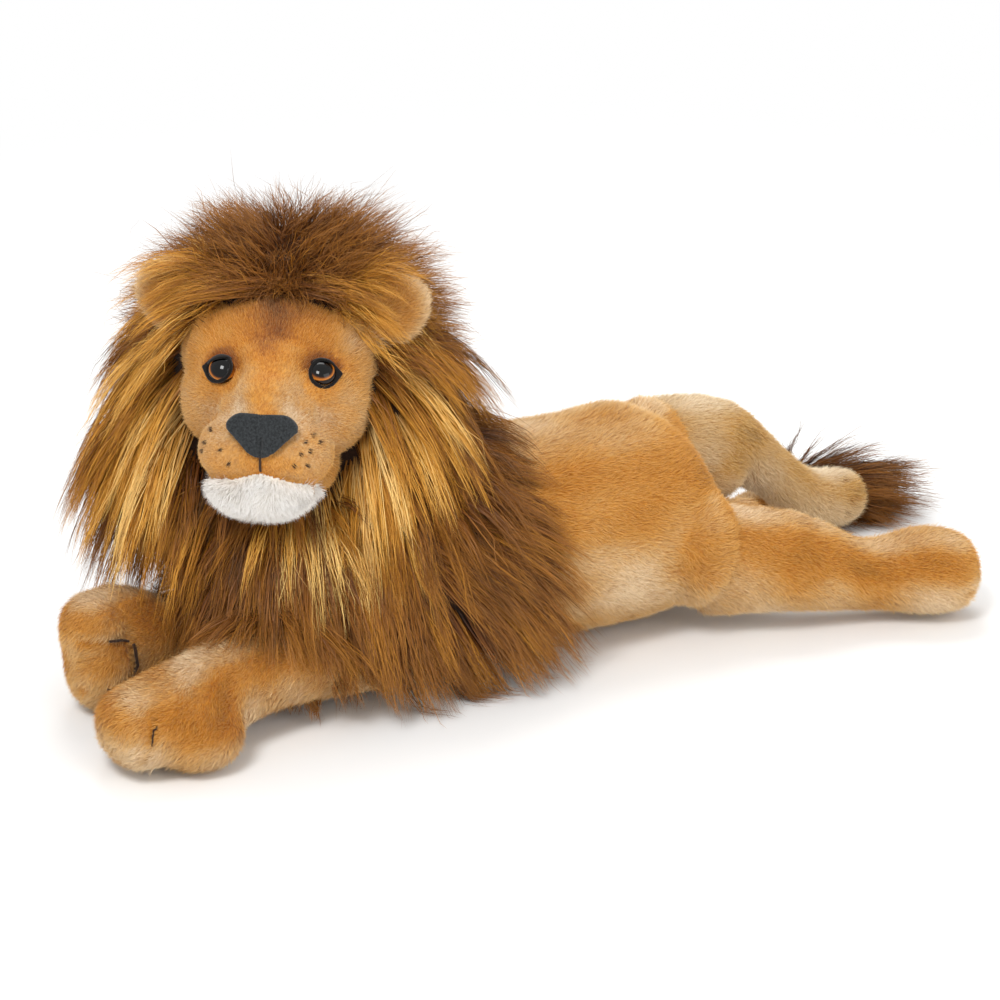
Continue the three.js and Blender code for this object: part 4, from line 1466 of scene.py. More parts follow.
    def build_nose(self) -> None:
        """Makes the nose, soft felt over foam with a stitched groove up its middle."""
        nose = felted("nose", "nose_felt", voxel=0.9, smoothing=10)
        local = HEAD.local(coordinates(nose))
        top, foot = local[:, 2].max(), local[:, 2].min()
        share = (top - local[:, 2]) / (top - foot)
        widths = (0.80, 0.93, 1.07, 0.92, 0.78, 0.62)
        local[:, 1] *= np.interp(share, (0.0, 0.15, 0.38, 0.7, 0.88, 1.0), widths)
        depth = np.exp(-((local[:, 1] / 1.3) ** 2)) * smooth_step(share, 0.42, 0.62)
        local[:, 0] -= depth * 2.4
        local[:, 1] *= self.nose_swell
        local[:, 2] = foot + (local[:, 2] - foot) * self.nose_swell + self.nose_rise
        move_to(nose, HEAD.place(local))
        refine(nose)
        dress(nose, NOSE_FELT.build())
        attach(Body.HEAD, "nose_felt", nose)
        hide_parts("nose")
        LOG.info("nose: %d faces", len(nose.data.polygons))

    def build_mouth(self, skin: Mesh) -> None:
        """Makes the thread that runs from the nose to the lip."""
        heights = np.linspace(self.muzzle.thread_top + 2, self.muzzle.lip_middle - 2.5, 4)
        line = [tuple(HEAD.place((80 - 0.3 * (height - heights[0]), 0, height)) / MM) for height in heights]
        attach(Body.HEAD, "lid_felt", Stitch(tuple(line), radius=0.75, lift=1.2).build(skin, "mouth_thread"))

    def build_eye(self, socket: Socket) -> None:
        """Makes one glossy eye and the black felt lid round it."""
        deselect()
        bpy.ops.mesh.primitive_uv_sphere_add(segments=64, ring_count=32, radius=1)
        eye = bpy.context.object
        eye.name = f"eye_dome_{socket.name}"
        self.fit_dome(eye, socket, 0.0)
        eye.data.shade_smooth()
        dress(eye, EyePlastic().build(socket, socket.radius * self.eye_share))
        attach(Body.HEAD, "eye_plastic", eye)
        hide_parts(f"eye_{socket.name}")
        lid = self.lid(socket)
        dress(lid, LID_FELT.build())
        attach(Body.HEAD, "lid_felt", lid)
        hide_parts(f"eyelid_{socket.name}")
        dress(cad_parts[f"eye_washer_{socket.name}"], WASHER_PLASTIC.build())

    def fit_dome(self, ball: Mesh, socket: Socket, gap: float) -> None:
        """Shapes a ball of radius 1 to the front of an eye.

        Args:
            ball: The ball.
            socket: Where the eye sits.
            gap: How far it lies outside the eye, in millimetres.
        """
        radius = socket.radius * self.eye_share + gap * MM
        ball.scale = (radius, radius, socket.dome * self.eye_share + gap * MM)
        ball.rotation_euler = socket.turn
        ball.location = socket.middle
        settle(ball)

    def lid(self, socket: Socket) -> Mesh:
        """Makes the felt round an eye, with a fold that hangs over the top of the dome."""
        ring = felted(f"eyelid_{socket.name}", f"lid_ring_{socket.name}", voxel=0.55, smoothing=4)
        places = coordinates(ring) - socket.middle
        along = (places @ socket.axis)[:, None] * socket.axis
        forward = socket.middle + self.ring_lift * MM * socket.axis
        move_to(ring, forward + along + (places - along) * self.ring_share)
        deselect()
        bpy.ops.mesh.primitive_uv_sphere_add(segments=96, ring_count=64, radius=1)
        fold = bpy.context.object
        round_places = coordinates(fold)
        height, slant, arch = self.fold_edge
        edge = height - slant * round_places[:, 0] * socket.side - arch * round_places[:, 0] ** 2
        away = (round_places[:, 1] < edge) | (round_places[:, 2] < -0.25)
        fold.data.vertices.foreach_set("select", away)
        for group in (fold.data.edges, fold.data.polygons):
            group.foreach_set("select", np.zeros(len(group), bool))
        delete_selected("VERT")
        self.fit_dome(fold, socket, self.fold_gap)
        thicken(fold, 1.2, 1.0)
        return fuse(f"lid_felt_{socket.name}", [ring, fold], voxel=0.45, smoothing=4)

    def build_ear(self, side: int, name: str) -> None:
        """Makes one rounded ear, cupped in front.

        Args:
            side: 1 for the lion's left, -1 for its right.
            name: The side's name.
        """
        parts = [HEAD.ellipsoid((ahead, out * side, up), radii) for (ahead, out, up), radii in self.ear_forms]
        ear = fuse(f"ear_skin_{name}", parts, voxel=1.8, smoothing=5)
        refine(ear)
        across, height = self.ear_middle

        def reach(local: Points, radius: float) -> Points:
            """Gives how far places are from the middle of the ear's cup, in radii."""
            return np.hypot((local[:, 1] * side - across) / radius, (local[:, 2] - height) / radius)

        def tones(local: Points) -> Points:
            """Makes the ear's edge paler."""
            return 0.52 + 0.4 * smooth_step(reach(local, 24), 0.55, 1.0)

        local = HEAD.local(coordinates(ear))
        cup = np.exp(-(reach(local, 15) ** 2)) * (local[:, 0] > 9)
        local[:, 0] -= cup * 7.5
        move_to(ear, HEAD.place(local))
        material = TAN_PILE.build()
        dress(ear, material)
        colour_skin(ear, tones(HEAD.local(coordinates(ear))), 51)
        roots = Roots.over(ear, self.ear_nap.density, 52)
        local = HEAD.local(roots.places)
        comb = HEAD.way(local - np.array([8.0, 45.0 * side, 35.0]))
        pile = self.ear_nap.grow(roots, comb, tones(local), 53).build(f"ear_pile_{name}", material)
        attach(Body.HEAD, "tan_pile", ear, pile)
        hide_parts(f"ear_{name}")

    def build(self) -> None:
        """Makes the whole head."""
        sockets = [Socket.read("left", 1), Socket.read("right", -1)]
        skin = self.build_face(sockets)
        self.build_whiskers(skin)
        self.build_nose()
        self.build_mouth(skin)
        for socket in sockets:
            self.build_eye(socket)
            self.build_ear(socket.side, socket.name)
        LOG.info("head: %d faces of skin", len(skin.data.polygons))


# The mane


@dataclass(frozen=True)
class Core:
    """One form of the stuffing that long pile lies on, as an ellipsoid.

    Attributes:
        middle: Its centre, in millimetres.
        radii: Its half sizes, in millimetres.
        in_head: Whether it lies in the head's frame.
    """

    middle: Triple
    radii: Triple
    in_head: bool = False

    def solid(self) -> Mesh:
        """Makes its mesh, as a start for a remesh."""
        return (HEAD.ellipsoid if self.in_head else ellipsoid)(self.middle, self.radii)

    def push_out(self, places: Points, gap: float) -> Points:
        """Moves places that are inside it, in metres, out to its surface and a gap beyond."""
        local = HEAD.local(places) if self.in_head else places / MM
        offset = (local - np.array(self.middle)) / (np.array(self.radii) + gap)
        far = np.linalg.norm(offset, axis=1, keepdims=True)
        offset = np.where(far < 1, offset / np.maximum(far, 1e-6), offset)
        moved = offset * (np.array(self.radii) + gap) + np.array(self.middle)
        return HEAD.place(moved) if self.in_head else moved * MM


def first_part(lines: Points, owner: Points, reach: Points) -> Points:
    """Gives the first part of some lines, in as many steps as they have.

    Args:
        lines: Line, step and place.
        owner: The number of the line that each result is a part of.
        reach: How much of it each result is, as a share.

    Returns:
        Result, step and place.
    """
    steps = lines.shape[1]
    spot = reach[:, None] * np.linspace(0, 1, steps)[None] * (steps - 1)
    low = np.minimum(spot.astype(int), steps - 2)
    part = (spot - low)[:, :, None]
    return lines[owner[:, None], low] * (1 - part) + lines[owner[:, None], low + 1] * part


@dataclass(frozen=True)
class Locks:
    """How long pile falls in locks.

    Attributes:
        strands: How many strands a lock has.
        steps: How many places a strand has along it.
        spread: A lock's radius at its root, in millimetres.
        gather: How far a lock draws together toward its tip, as a share.
        curl: How far its strands wave, in millimetres.
        width: A strand's width at its root, in millimetres.
        stiffness: How slowly a strand turns to its fall, from 0 to 1.
        weight: How strongly it falls.
        under: The share of strands that lie under, shorter and darker with painted shade.
    """

    strands: int = 30
    steps: int = 7
    spread: float = 7.0
    gather: float = 0.55
    curl: float = 2.6
    width: float = 0.62
    stiffness: float = 0.72
    weight: float = 0.55
    under: float = 0.32

    def guides(
        self, roots: Roots, first: Points, flow: Callable[[Points], Points], lengths: Points, cores: list[Core],
    ) -> Points:
        """Lets one line per lock fall over the stuffing.

        Args:
            roots: Where the locks grow.
            first: The way that each starts in.
            flow: Gives the way that the pile is brushed at a place.
            lengths: The locks' lengths, in millimetres.
            cores: The stuffing that they lie on.

        Returns:
            Places along each line: lock, step and place, in metres.
        """
        lines = [roots.places - roots.outward * 2 * MM]
        way = first
        stride = lengths[:, None] * MM / (self.steps - 1)
        for step in range(self.steps - 1):
            share = step / (self.steps - 1)
            fall = unit(flow(lines[-1]) + np.array([0, 0, -self.weight * (0.3 + 1.2 * share)]))
            way = unit(way * self.stiffness + fall * (1 - self.stiffness))
            spot = lines[-1] + way * stride
            for core in cores:
                spot = core.push_out(spot, 1.5 + 6 * share)
            spot[:, 2] = np.maximum(spot[:, 2], 2.0 * MM)
            way = unit(spot - lines[-1])
            lines.append(spot)
        return np.stack(lines, 1)

    def grow(self, guides: Points, roots: Roots, tones: Points, seed: int) -> Ribbons:
        """Makes the strands of the locks.

        Args:
            guides: The lines of the locks.
            roots: Where the locks grow.
            tones: Each lock's shade.
            seed: What the strands' differences are drawn from.

        Returns:
            The strands.
        """
        draw = np.random.default_rng(seed)
        locks, steps = guides.shape[:2]
        many = locks * self.strands
        owner = np.repeat(np.arange(locks), self.strands)
        under = draw.random(many) < self.under
        reach = draw.uniform(0.7, 1.0, many) * np.where(under, 0.72, 1.0)
        share = np.linspace(0, 1, steps)
        lines = first_part(guides, owner, reach)
        normal = roots.outward[owner]
        first = unit(np.cross(normal, draw.normal(size=(many, 3))))
        far = np.sqrt(draw.random(many)) * self.spread * MM
        close = 1 - self.gather * share ** 1.3
        lines = lines + (first * far[:, None])[:, None] * close[None, :, None]
        second = np.cross(normal, first)
        pace, phase = draw.uniform(0.6, 1.9, many), draw.uniform(0, 2 * math.pi, many)
        wave = np.sin(phase[:, None] + pace[:, None] * share[None] * 2 * math.pi) - np.sin(phase)[:, None]
        swell = self.curl * MM * draw.uniform(0.4, 1.6, many)[:, None] * share[None] ** 1.2
        stray = draw.random(many) < 0.07
        swell = np.where(stray[:, None], swell * 2.1, swell)
        lift = draw.normal(0, 0.6, many)[:, None, None] * normal[:, None]
        lines = lines + (wave * swell)[:, :, None] * (second[:, None] + lift)
        lines[:, :, 2] = np.maximum(lines[:, :, 2], draw.uniform(0.4, 5, many)[:, None] * MM)
        base = lines[:, :1]
        room = np.where(lines > base, metres(HAIR_BOX[1]), metres(HAIR_BOX[0])) - base
        over = ((lines - base) / room).max((1, 2))
        lines = base + (lines - base) * np.where(over > 1, reach / np.maximum(over, 1), 1.0)[:, None, None]
        tangent = unit(np.gradient(lines, axis=1))
        side = unit(np.cross(tangent, normal[:, None] + 0.001))
        across = turn_about(side, tangent, np.repeat(draw.normal(0, 0.6, many)[:, None], steps, 1))
        width = self.width * MM * draw.uniform(0.7, 1.3, many)
        # Painted shade: the strands that lie under are drawn darker.
        tone = tones[owner] + draw.normal(0, 0.06, many) - 0.13 * under
        return Ribbons(lines, across, width, tone)


def inside_face(local: Points, wide: float = 59.0, top: float = 68.0, foot: float = 56.0) -> Points:
    """Tells which places in the head's frame lie in the opening that the face looks out of."""
    up = local[:, 2] + 8
    across = np.where(up > 18, wide, wide - 8)
    reach = (np.abs(local[:, 1]) / across) ** 3 + (np.abs(up) / np.where(up > 0, top, foot)) ** 3
    return (local[:, 0] > -2) & (reach < 1)


def round_face(local: Points) -> tuple[Points, Points]:
    """Gives each place's way out from the face and the way round it, down from the middle of the brow.

    Args:
        local: Places in the head's frame, in millimetres.

    Returns:
        Unit ways in the head's frame.
    """
    out = unit(local * np.array([0, 1, 1]) + np.array([0, 0, 5.0]))
    wander = Ripple(24, 3).at(HEAD.place(local))[:, 0] * 8
    side = np.clip((local[:, 1] + wander) / 20, -1, 1)
    below = 1.0 * (out[:, 2] < 0)
    round_way = np.stack([0 * side, side * np.maximum(out[:, 2], 0), -np.abs(out[:, 1]) - below], 1)
    return out, unit(round_way + np.array([1e-4, 0, 0]))


class Coat:
    """One kind of long pile on a section of the mane.

    Attributes:
        locks: How its pile falls.
        crowd: How many locks grow on a square centimetre.
        pieces: How many objects it is made as.
        seed: What its differences are drawn from.
        band: How high it grows on the head, from and to, in millimetres.
        across: How far out it grows on the head, in millimetres.
        front: How far forward on the head it starts, in millimetres.
        off_face: Whether it keeps out of the face's opening.
        length: Its mean length, in millimetres.
        uneven: How far its length varies, in millimetres.
    """

    locks = Locks()
    crowd = 1.2
    pieces = 1
    seed = 1
    band = (-200.0, 200.0)
    across = 200.0
    front = -200.0
    off_face = True
    length = 60.0
    uneven = 8.0

    def keep(self, roots: Roots) -> Points:
        """Tells where its locks grow."""
        local = HEAD.local(roots.places)
        low, high = self.band
        inside = (local[:, 2] > low) & (local[:, 2] < high) & (np.abs(local[:, 1]) < self.across)
        inside &= local[:, 0] > self.front
        return inside & ~inside_face(local) if self.off_face else inside

    def first(self, roots: Roots) -> Points:
        """Gives the way that its locks start in."""
        raise NotImplementedError

    def flow(self, places: Points) -> Points:
        """Gives the way that its pile is brushed."""
        raise NotImplementedError

    def lengths(self, places: Points) -> Points:
        """Gives the lengths of its locks, in millimetres."""
        return self.length + self.uneven * self.ripple(places)

    def tones(self, places: Points) -> Points:
        """Gives the shades of its locks."""
        raise NotImplementedError

    def trim(self, guides: Points) -> Points:
        """Cuts its locks to their outline; most need no cut."""
        return guides

    def ripple(self, places: Points, size: float = 26) -> Points:
        """Gives a soft noise of its own over the places."""
        return Ripple(size, self.seed + 3).at(places)[:, 0]

    def build(self, skin: Mesh, name: str, cores: list[Core]) -> list[Mesh]:
        """Grows the pile on a backing.

        Args:
            skin: The backing.
            name: The start of the pieces' names.
            cores: The stuffing that the pile lies on.

        Returns:
            The pieces of pile.
        """
        roots = Roots.over(skin, self.crowd / 100, self.seed)
        roots = roots.only(self.keep(roots))
        draw = np.random.default_rng(self.seed + 1)
        count = len(roots.places)
        stray = draw.normal(0, 0.12, (count, 3)) + 0.15 * Ripple(30, self.seed).at(roots.places)
        lengths = self.lengths(roots.places) * draw.uniform(0.8, 1.2, count)
        guides = self.trim(self.locks.guides(roots, unit(self.first(roots) + stray), self.flow, lengths, cores))
        tones = self.tones(roots.places) + draw.normal(0, 0.035, count)
        hair = MANE_PILE.build()
        made = []
        for part in range(self.pieces):
            some = np.arange(count) % self.pieces == part
            strands = self.locks.grow(guides[some], roots.only(some), tones[some], self.seed + 10 + part)
            made.append(strands.build(f"{name}_{part + 1}", hair))
        LOG.info("%s: %d locks, %d strands in %d pieces", name, count, count * self.locks.strands, self.pieces)
        return made


class DomeCoat(Coat):
    """The fuzzy brown pile on top of the head and behind it."""

    locks = Locks(
        strands=24, spread=9, gather=0.05, curl=4.0, width=0.5, stiffness=0.88, weight=0.34, under=0.3,
    )
    crowd = 2.4
    pieces = 2
    seed = 61

    def keep(self, roots: Roots) -> Points:
        """Keeps the top and the back."""
        local = HEAD.local(roots.places)
        up = round_face(local)[0][:, 2]
        high = (up > 0.42) | (local[:, 0] < -50)
        return high & ~inside_face(local) & (roots.places[:, 2] > 150 * MM)

    def first(self, roots: Roots) -> Points:
        """Stands the pile up off the skin."""
        local = HEAD.local(roots.places)
        normal = HEAD.local_way(roots.outward)
        return HEAD.way(unit(normal + 0.25 * round_face(local)[1]))

    def flow(self, places: Points) -> Points:
        """Brushes it to both sides, and back behind the ears."""
        local = HEAD.local(places)
        out, fall = round_face(local)
        back = smooth_step(-local[:, 0], 10, 70)[:, None] * np.array([-0.7, 0, 0])
        return HEAD.way(unit(0.8 * fall + 0.6 * out + back))

    def lengths(self, places: Points) -> Points:
        """Keeps it short on top and longer behind."""
        local = HEAD.local(places)
        behind, left = smooth_step(-local[:, 0], 30, 90), smooth_step(local[:, 1], 10, 50)
        right = smooth_step(-local[:, 1], 20, 50)
        return 35 + 34 * behind + (11 * left + 6 * right) * (1 - behind) + 3 * self.ripple(places)

    def tones(self, places: Points) -> Points:
        """Makes it a middle brown."""
        left = smooth_step(HEAD.local(places)[:, 1], 10, 50)
        return 0.42 + 0.06 * left + 0.05 * self.ripple(places)


class SideCoat(Coat):
    """The long pile beside the face: gold round it and brown farther out."""

    locks = Locks(strands=34, gather=0.6)
    crowd = 1.5
    pieces = 3
    seed = 71
    length = 86.0

    def keep(self, roots: Roots) -> Points:
        """Keeps the sides, above the neck."""
        local = HEAD.local(roots.places)
        up = round_face(local)[0][:, 2]
        return (up < 0.62) & (local[:, 0] > -75) & ~inside_face(local) & (roots.places[:, 2] > 119 * MM)

    def first(self, roots: Roots) -> Points:
        """Starts it out from the face and down."""
        local = HEAD.local(roots.places)
        out, fall = round_face(local)
        low = smooth_step(-out[:, 2], -0.5, 0.5)[:, None]
        near = 1 - smooth_step(np.hypot(local[:, 1] / 52, (local[:, 2] + 8) / 58), 1.0, 1.35)
        way = 0.55 * HEAD.local_way(roots.outward) + (0.15 + 0.3 * low) * out + 0.75 * fall
        return HEAD.way(unit(way + near[:, None] * np.array([0.35, 0, 0])))

    def flow(self, places: Points) -> Points:
        """Brushes it down and outward, most on the side of the shoulder."""
        local = HEAD.local(places)
        out, fall = round_face(local)
        low = smooth_step(-out[:, 2], -0.5, 0.5)[:, None]
        shoulder = (smooth_step(local[:, 1], 40, 80) * (0.4 + 0.6 * smooth_step(local[:, 2], -40, 0)))[:, None]
        return HEAD.way(unit(fall + (0.16 + 0.26 * low + 0.34 * shoulder) * out))

    def tones(self, places: Points) -> Points:
        """Makes it gold toward the face, paler still low on the lion's left as painted light."""
        local = HEAD.local(places)
        rim = np.hypot(local[:, 1] / 62, (local[:, 2] + 8) / 66)
        edge = np.where(local[:, 1] > 0, 0.16, 0.0)
        gold = (1 - smooth_step(rim + edge, 1.2, 1.7)) * smooth_step(local[:, 0], -42, -10)
        low = smooth_step(-local[:, 2], 24, 66)
        # Low on the lion's left the gold is raised further, painted light against the shade between face and
        # locks; low on its right it fades.
        gold *= np.where(local[:, 1] > 0, 1 + 0.4 * smooth_step(-local[:, 2], -10, 30), 1 - 0.65 * low)
        ripple = self.ripple(places)
        return 0.38 + 0.06 * ripple + (0.42 + 0.12 * ripple) * gold


class ForelockCoat(Coat):
    """The golden locks of the brow, which part in the middle and sweep over the ears."""

    locks = Locks(
        strands=30, spread=6, gather=0.45, curl=3.2, stiffness=0.7, weight=0.12, under=0.16, width=0.5,
    )
    crowd = 3.4
    seed = 75
    band = (40.0, 70.0)
    across = 60.0
    front = -12.0

    def side(self, local: Points) -> Points:
        """Gives the side that each place's pile sweeps to."""
        return np.where(local[:, 1] > 2, 1.0, -1.0)

    def first(self, roots: Roots) -> Points:
        """Starts it sideways, forward and a little up."""
        local = HEAD.local(roots.places)
        way = np.stack([0.6 + 0 * local[:, 0], 0.75 * self.side(local), 0.16 + 0 * local[:, 0]], 1)
        return HEAD.way(unit(way))

    def flow(self, places: Points) -> Points:
        """Sweeps it sideways, then down beyond the ears."""
        local = HEAD.local(places)
        far = smooth_step(np.abs(local[:, 1]), 30, 78)
        way = np.stack([0.1 - 0.2 * far, self.side(local) * (1 - 0.45 * far), -0.26 - 0.8 * far], 1)
        return HEAD.way(unit(way))

    def lengths(self, places: Points) -> Points:
        """Makes it longer on the lion's right, where it covers the ear."""
        return np.where(HEAD.local(places)[:, 1] > 2, 56.0, 64.0)

    def tones(self, places: Points) -> Points:
        """Makes it gold, and brown in the middle of the brow."""
        out = np.abs(HEAD.local(places)[:, 1])
        return 0.50 + 0.22 * smooth_step(out, 4, 30) + 0.12 * self.ripple(places, 14)


class FringeCoat(Coat):
    """Short brown pile that falls onto the middle of the brow."""

    locks = Locks(strands=20, spread=5, gather=0.3, curl=2.0, stiffness=0.6, weight=0.3, width=0.45)
    crowd = 3.0
    seed = 78
    band = (56.0, 80.0)
    across = 30.0
    front = 0.0
    off_face = False
    length = 19.0
    uneven = 4.0

    def first(self, roots: Roots) -> Points:
        """Starts it forward."""
        return HEAD.way(unit(HEAD.local_way(roots.outward) + np.array([0.9, 0, 0.1])))

    def flow(self, places: Points) -> Points:
        """Brushes it forward and down."""
        out = np.clip(HEAD.local(places)[:, 1] / 40, -1, 1)
        return HEAD.way(unit(np.stack([0.5 + 0 * out, 0.5 * out, -0.7 + 0 * out], 1)))

    def tones(self, places: Points) -> Points:
        """Makes it brown."""
        return 0.4 + 0.06 * self.ripple(places)


class ThroatCoat(Coat):
    """The straight pile under the chin, dark with golden streaks."""

    locks = Locks(strands=30, gather=0.65, curl=1.8, weight=0.9)
    crowd = 2.0
    seed = 79
    band = (-200.0, -40.0)
    across = 70.0
    front = -30.0
    length = 54.0

    def first(self, roots: Roots) -> Points:
        """Starts it forward and down."""
        return unit(roots.outward * 0.5 + HEAD.way((0.45, 0.0, -0.9)))

    def flow(self, places: Points) -> Points:
        """Lets it hang, a little forward over the chest."""
        out = np.clip(HEAD.local(places)[:, 1] / 60, -1, 1)
        return unit(HEAD.way(np.stack([0.22 + 0 * out, 0.3 * out, 0 * out], 1)) + np.array([0, 0, -1.0]))

    def tones(self, places: Points) -> Points:
        """Streaks it with gold."""
        left = HEAD.local(places)[:, 1]
        near, beside = smooth_step(left, -24, 10), smooth_step(left, 18, 42)
        return 0.36 + 0.14 * near + 0.26 * beside + 0.15 * self.ripple(places, 12)


class CapeCoat(Coat):
    """The long brown pile of the chest and the shoulders."""

    locks = Locks(weight=0.75, strands=32, width=0.58)
    crowd = 1.45
    pieces = 3
    seed = 81

    def keep(self, roots: Roots) -> Points:
        """Keeps it off the belly and clear of the head's own pile."""
        local = HEAD.local(roots.places)
        return (roots.places[:, 2] > 34 * MM) & (roots.outward[:, 2] > -0.75) & (local[:, 2] < 36)

    def first(self, roots: Roots) -> Points:
        """Starts it outward and down."""
        return unit(roots.outward * 0.75 + self.flow(roots.places) * 0.9)

    def flow(self, places: Points) -> Points:
        """Brushes it down, and toward the tail over the shoulders."""
        aft = smooth_step(places[:, 0], -150 * MM, -80 * MM)
        near = smooth_step(-places[:, 1], -20 * MM, 60 * MM)
        back = aft * (0.8 + 1.1 * smooth_step(places[:, 2], 60 * MM, 112 * MM))
        far = 1 - near
        return unit(np.stack([0.04 + back - 0.3 * far * (1 - aft), 0.2 * far - 0.2 * near, -1.0 + 0 * aft], 1))

    def lengths(self, places: Points) -> Points:
        """Makes it longest on the chest."""
        return 70 + 12 * smooth_step(-places[:, 0], 120 * MM, 190 * MM) + 6 * self.ripple(places)

    def tones(self, places: Points) -> Points:
        """Makes it chestnut, darker under the head with painted shade."""
        ripple = self.ripple(places, 22)
        # Painted shade: the chest is darkened where it lies under the head.
        under = smooth_step(places[:, 2], 80 * MM, 130 * MM) * (places[:, 0] < -170 * MM)
        return 0.45 + 0.07 * ripple - 0.1 * under

    def hem(self, places: Points) -> Points:
        """Gives how low the pile hangs at a place, in metres: to the floor only behind the elbow."""
        x, y = places[:, 0] / MM, places[:, 1] / MM
        low = np.interp(x, [-290, -240, -200, -165, -135, -118], [66, 62, 54, 36, 14, 0])
        between = smooth_step(y, -46, -30) * (1 - smooth_step(y, -2, 14)) * (x < -150)
        return (low - 26 * between) * MM

    def trim(self, guides: Points) -> Points:
        """Cuts each lock where it meets the hem."""
        draw = np.random.default_rng(self.seed + 5)
        steps = guides.shape[1]
        flat = guides.reshape(-1, 3)
        above = (flat[:, 2] - self.hem(flat)).reshape(-1, steps) + draw.normal(0, 6 * MM, (len(guides), 1))
        below = above < 0
        first = np.maximum(np.where(below.any(1), below.argmax(1), steps - 1), 2)
        return first_part(guides, np.arange(len(guides)), first / (steps - 1))


HEAD_CORES = (
    Core((-34, 0, 14), (68, 76, 78), True),
    Core((-14, 50, -14), (24, 26, 42), True),
    Core((-14, -50, -14), (24, 26, 42), True),
    Core((-28, 60, -30), (40, 40, 46), True),
    Core((-28, -60, -30), (40, 40, 46), True),
    Core((-10, 0, -60), (34, 46, 22), True),
)
CAPE_CORES = (
    Core((-110, 0, 80), (68, 76, 68)),
    Core((-180, -8, 74), (56, 62, 56)),
    Core((-150, -42, 66), (56, 36, 40)),
    Core((-150, 42, 66), (56, 36, 40)),
    Core((-82, 0, 75), (54, 80, 75)),
)
FACE_CORES = (
    Core((-8, 0, 4), (52, 57, 56), True), Core((14, 0, 20), (36, 51, 41), True),
    Core((6, 35, 20), (37, 27, 33), True), Core((6, -35, 20), (37, 27, 33), True),
)
EAR_CORES = (Core((8, 62, 50), (11, 23, 22), True), Core((8, -62, 50), (11, 23, 22), True))
LEG_CORES = (
    Core((-150, -50, 38), (60, 33, 33)), Core((-215, -62, 42), (52, 31, 31)),
    Core((-285, -78, 33), (46, 37, 33)), Core((-150, 34, 38), (60, 31, 32)),
    Core((-215, 29, 36), (52, 29, 33)), Core((-288, 19, 41), (36, 32, 42)),
)


@dataclass
class ManeSection:
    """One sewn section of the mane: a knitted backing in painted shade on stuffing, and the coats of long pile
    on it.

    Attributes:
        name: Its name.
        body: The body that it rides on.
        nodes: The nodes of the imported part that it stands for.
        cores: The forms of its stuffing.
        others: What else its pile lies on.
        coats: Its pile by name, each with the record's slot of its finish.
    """

    name: str
    body: Body
    nodes: tuple[str, ...]
    cores: tuple[Core, ...]
    others: tuple[Core, ...]
    coats: dict[str, tuple[Coat, str]]

    def build(self) -> None:
        """Makes its backing and its pile."""
        skin = fuse(f"{self.name}_backing", [core.solid() for core in self.cores], voxel=5.0, smoothing=4)
        rest_on_floor(skin, 1.0)
        dress(skin, PAINTED_SHADE_BACKING.build())
        for name, (coat, slot) in self.coats.items():
            attach(self.body, slot, *coat.build(skin, name, [*self.cores, *self.others]))
        attach(self.body, "brown_mane", skin)
        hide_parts(*self.nodes)


def mane_sections() -> list[ManeSection]:
    """Lists the mane's sections, with their sizes."""
    crown = ManeSection(
        name="mane_crown", body=Body.HEAD, nodes=("mane_crown", "mane_ruff"), cores=HEAD_CORES,
        others=(*FACE_CORES, *EAR_CORES, *CAPE_CORES),
        coats={
            "crown_dome_pile": (DomeCoat(), "brown_mane"),
            "ruff_pile": (SideCoat(), "gold_mane"),
            "forelock_pile": (ForelockCoat(), "gold_mane"),
            "brow_fringe_pile": (FringeCoat(), "brown_mane"),
            "throat_pile": (ThroatCoat(), "gold_mane"),
        },
    )
    cape = ManeSection(
        name="mane_cape", body=Body.TORSO, nodes=("mane_cape",), cores=CAPE_CORES, others=LEG_CORES,
        coats={"cape_pile": (CapeCoat(), "brown_mane")},
    )
    return [crown, cape]


@dataclass(frozen=True)
class Tuft:
    """The long pile at the tail's end.

    Attributes:
        base: The forms that it grows on.
        locks: How it falls.
        count: How many locks it has.
        axis: The way that it points.
    """

    base: tuple[Core, ...] = (Core((250, 106, 17), (16, 13, 14)), Core((270, 98, 18), (18, 14, 15)))
    locks: Locks = Locks(strands=28, spread=3.5, gather=0.2, curl=4.0, weight=0.2, stiffness=0.85, width=0.5)
    count: int = 230
    axis: Triple = (0.66, -0.72, 0.06)

    def build(self) -> None:
        """Makes the tuft's base and its pile."""
        skin = fuse("tail_tuft_backing", [core.solid() for core in self.base], voxel=2.5, smoothing=4)
        dress(skin, PAINTED_SHADE_BACKING.build())
        roots = Roots.over(skin, 0.05, 91)
        draw = np.random.default_rng(92)
        order = draw.permutation(len(roots.places))[:self.count]
        roots = roots.only(order)
        count = len(order)
        middle = metres(self.base[0].middle)
        axis = unit(np.array(self.axis))
        flat = np.array([1.0, 1.0, 0.6])
        first = unit(unit(roots.places - middle) * flat * 0.7 + axis * 0.8 + draw.normal(0, 0.15, (count, 3)))

        def flow(places: Points) -> Points:
            """Brushes the pile out and along the tail."""
            return unit(unit(places - middle) * flat * 0.6 + axis * 0.6)

        lengths = draw.uniform(42, 76, count)
        guides = self.locks.guides(roots, first, flow, lengths, [])
        tones = 0.34 + draw.normal(0, 0.06, count)
        pile = self.locks.grow(guides, roots, tones, 93).build("tail_tuft_pile", MANE_PILE.build())
        attach(Body.TAIL, "brown_mane", skin, pile)
        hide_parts("tail_tuft")
        LOG.info("tail tuft: %d strands", count * self.locks.strands)


# The studio


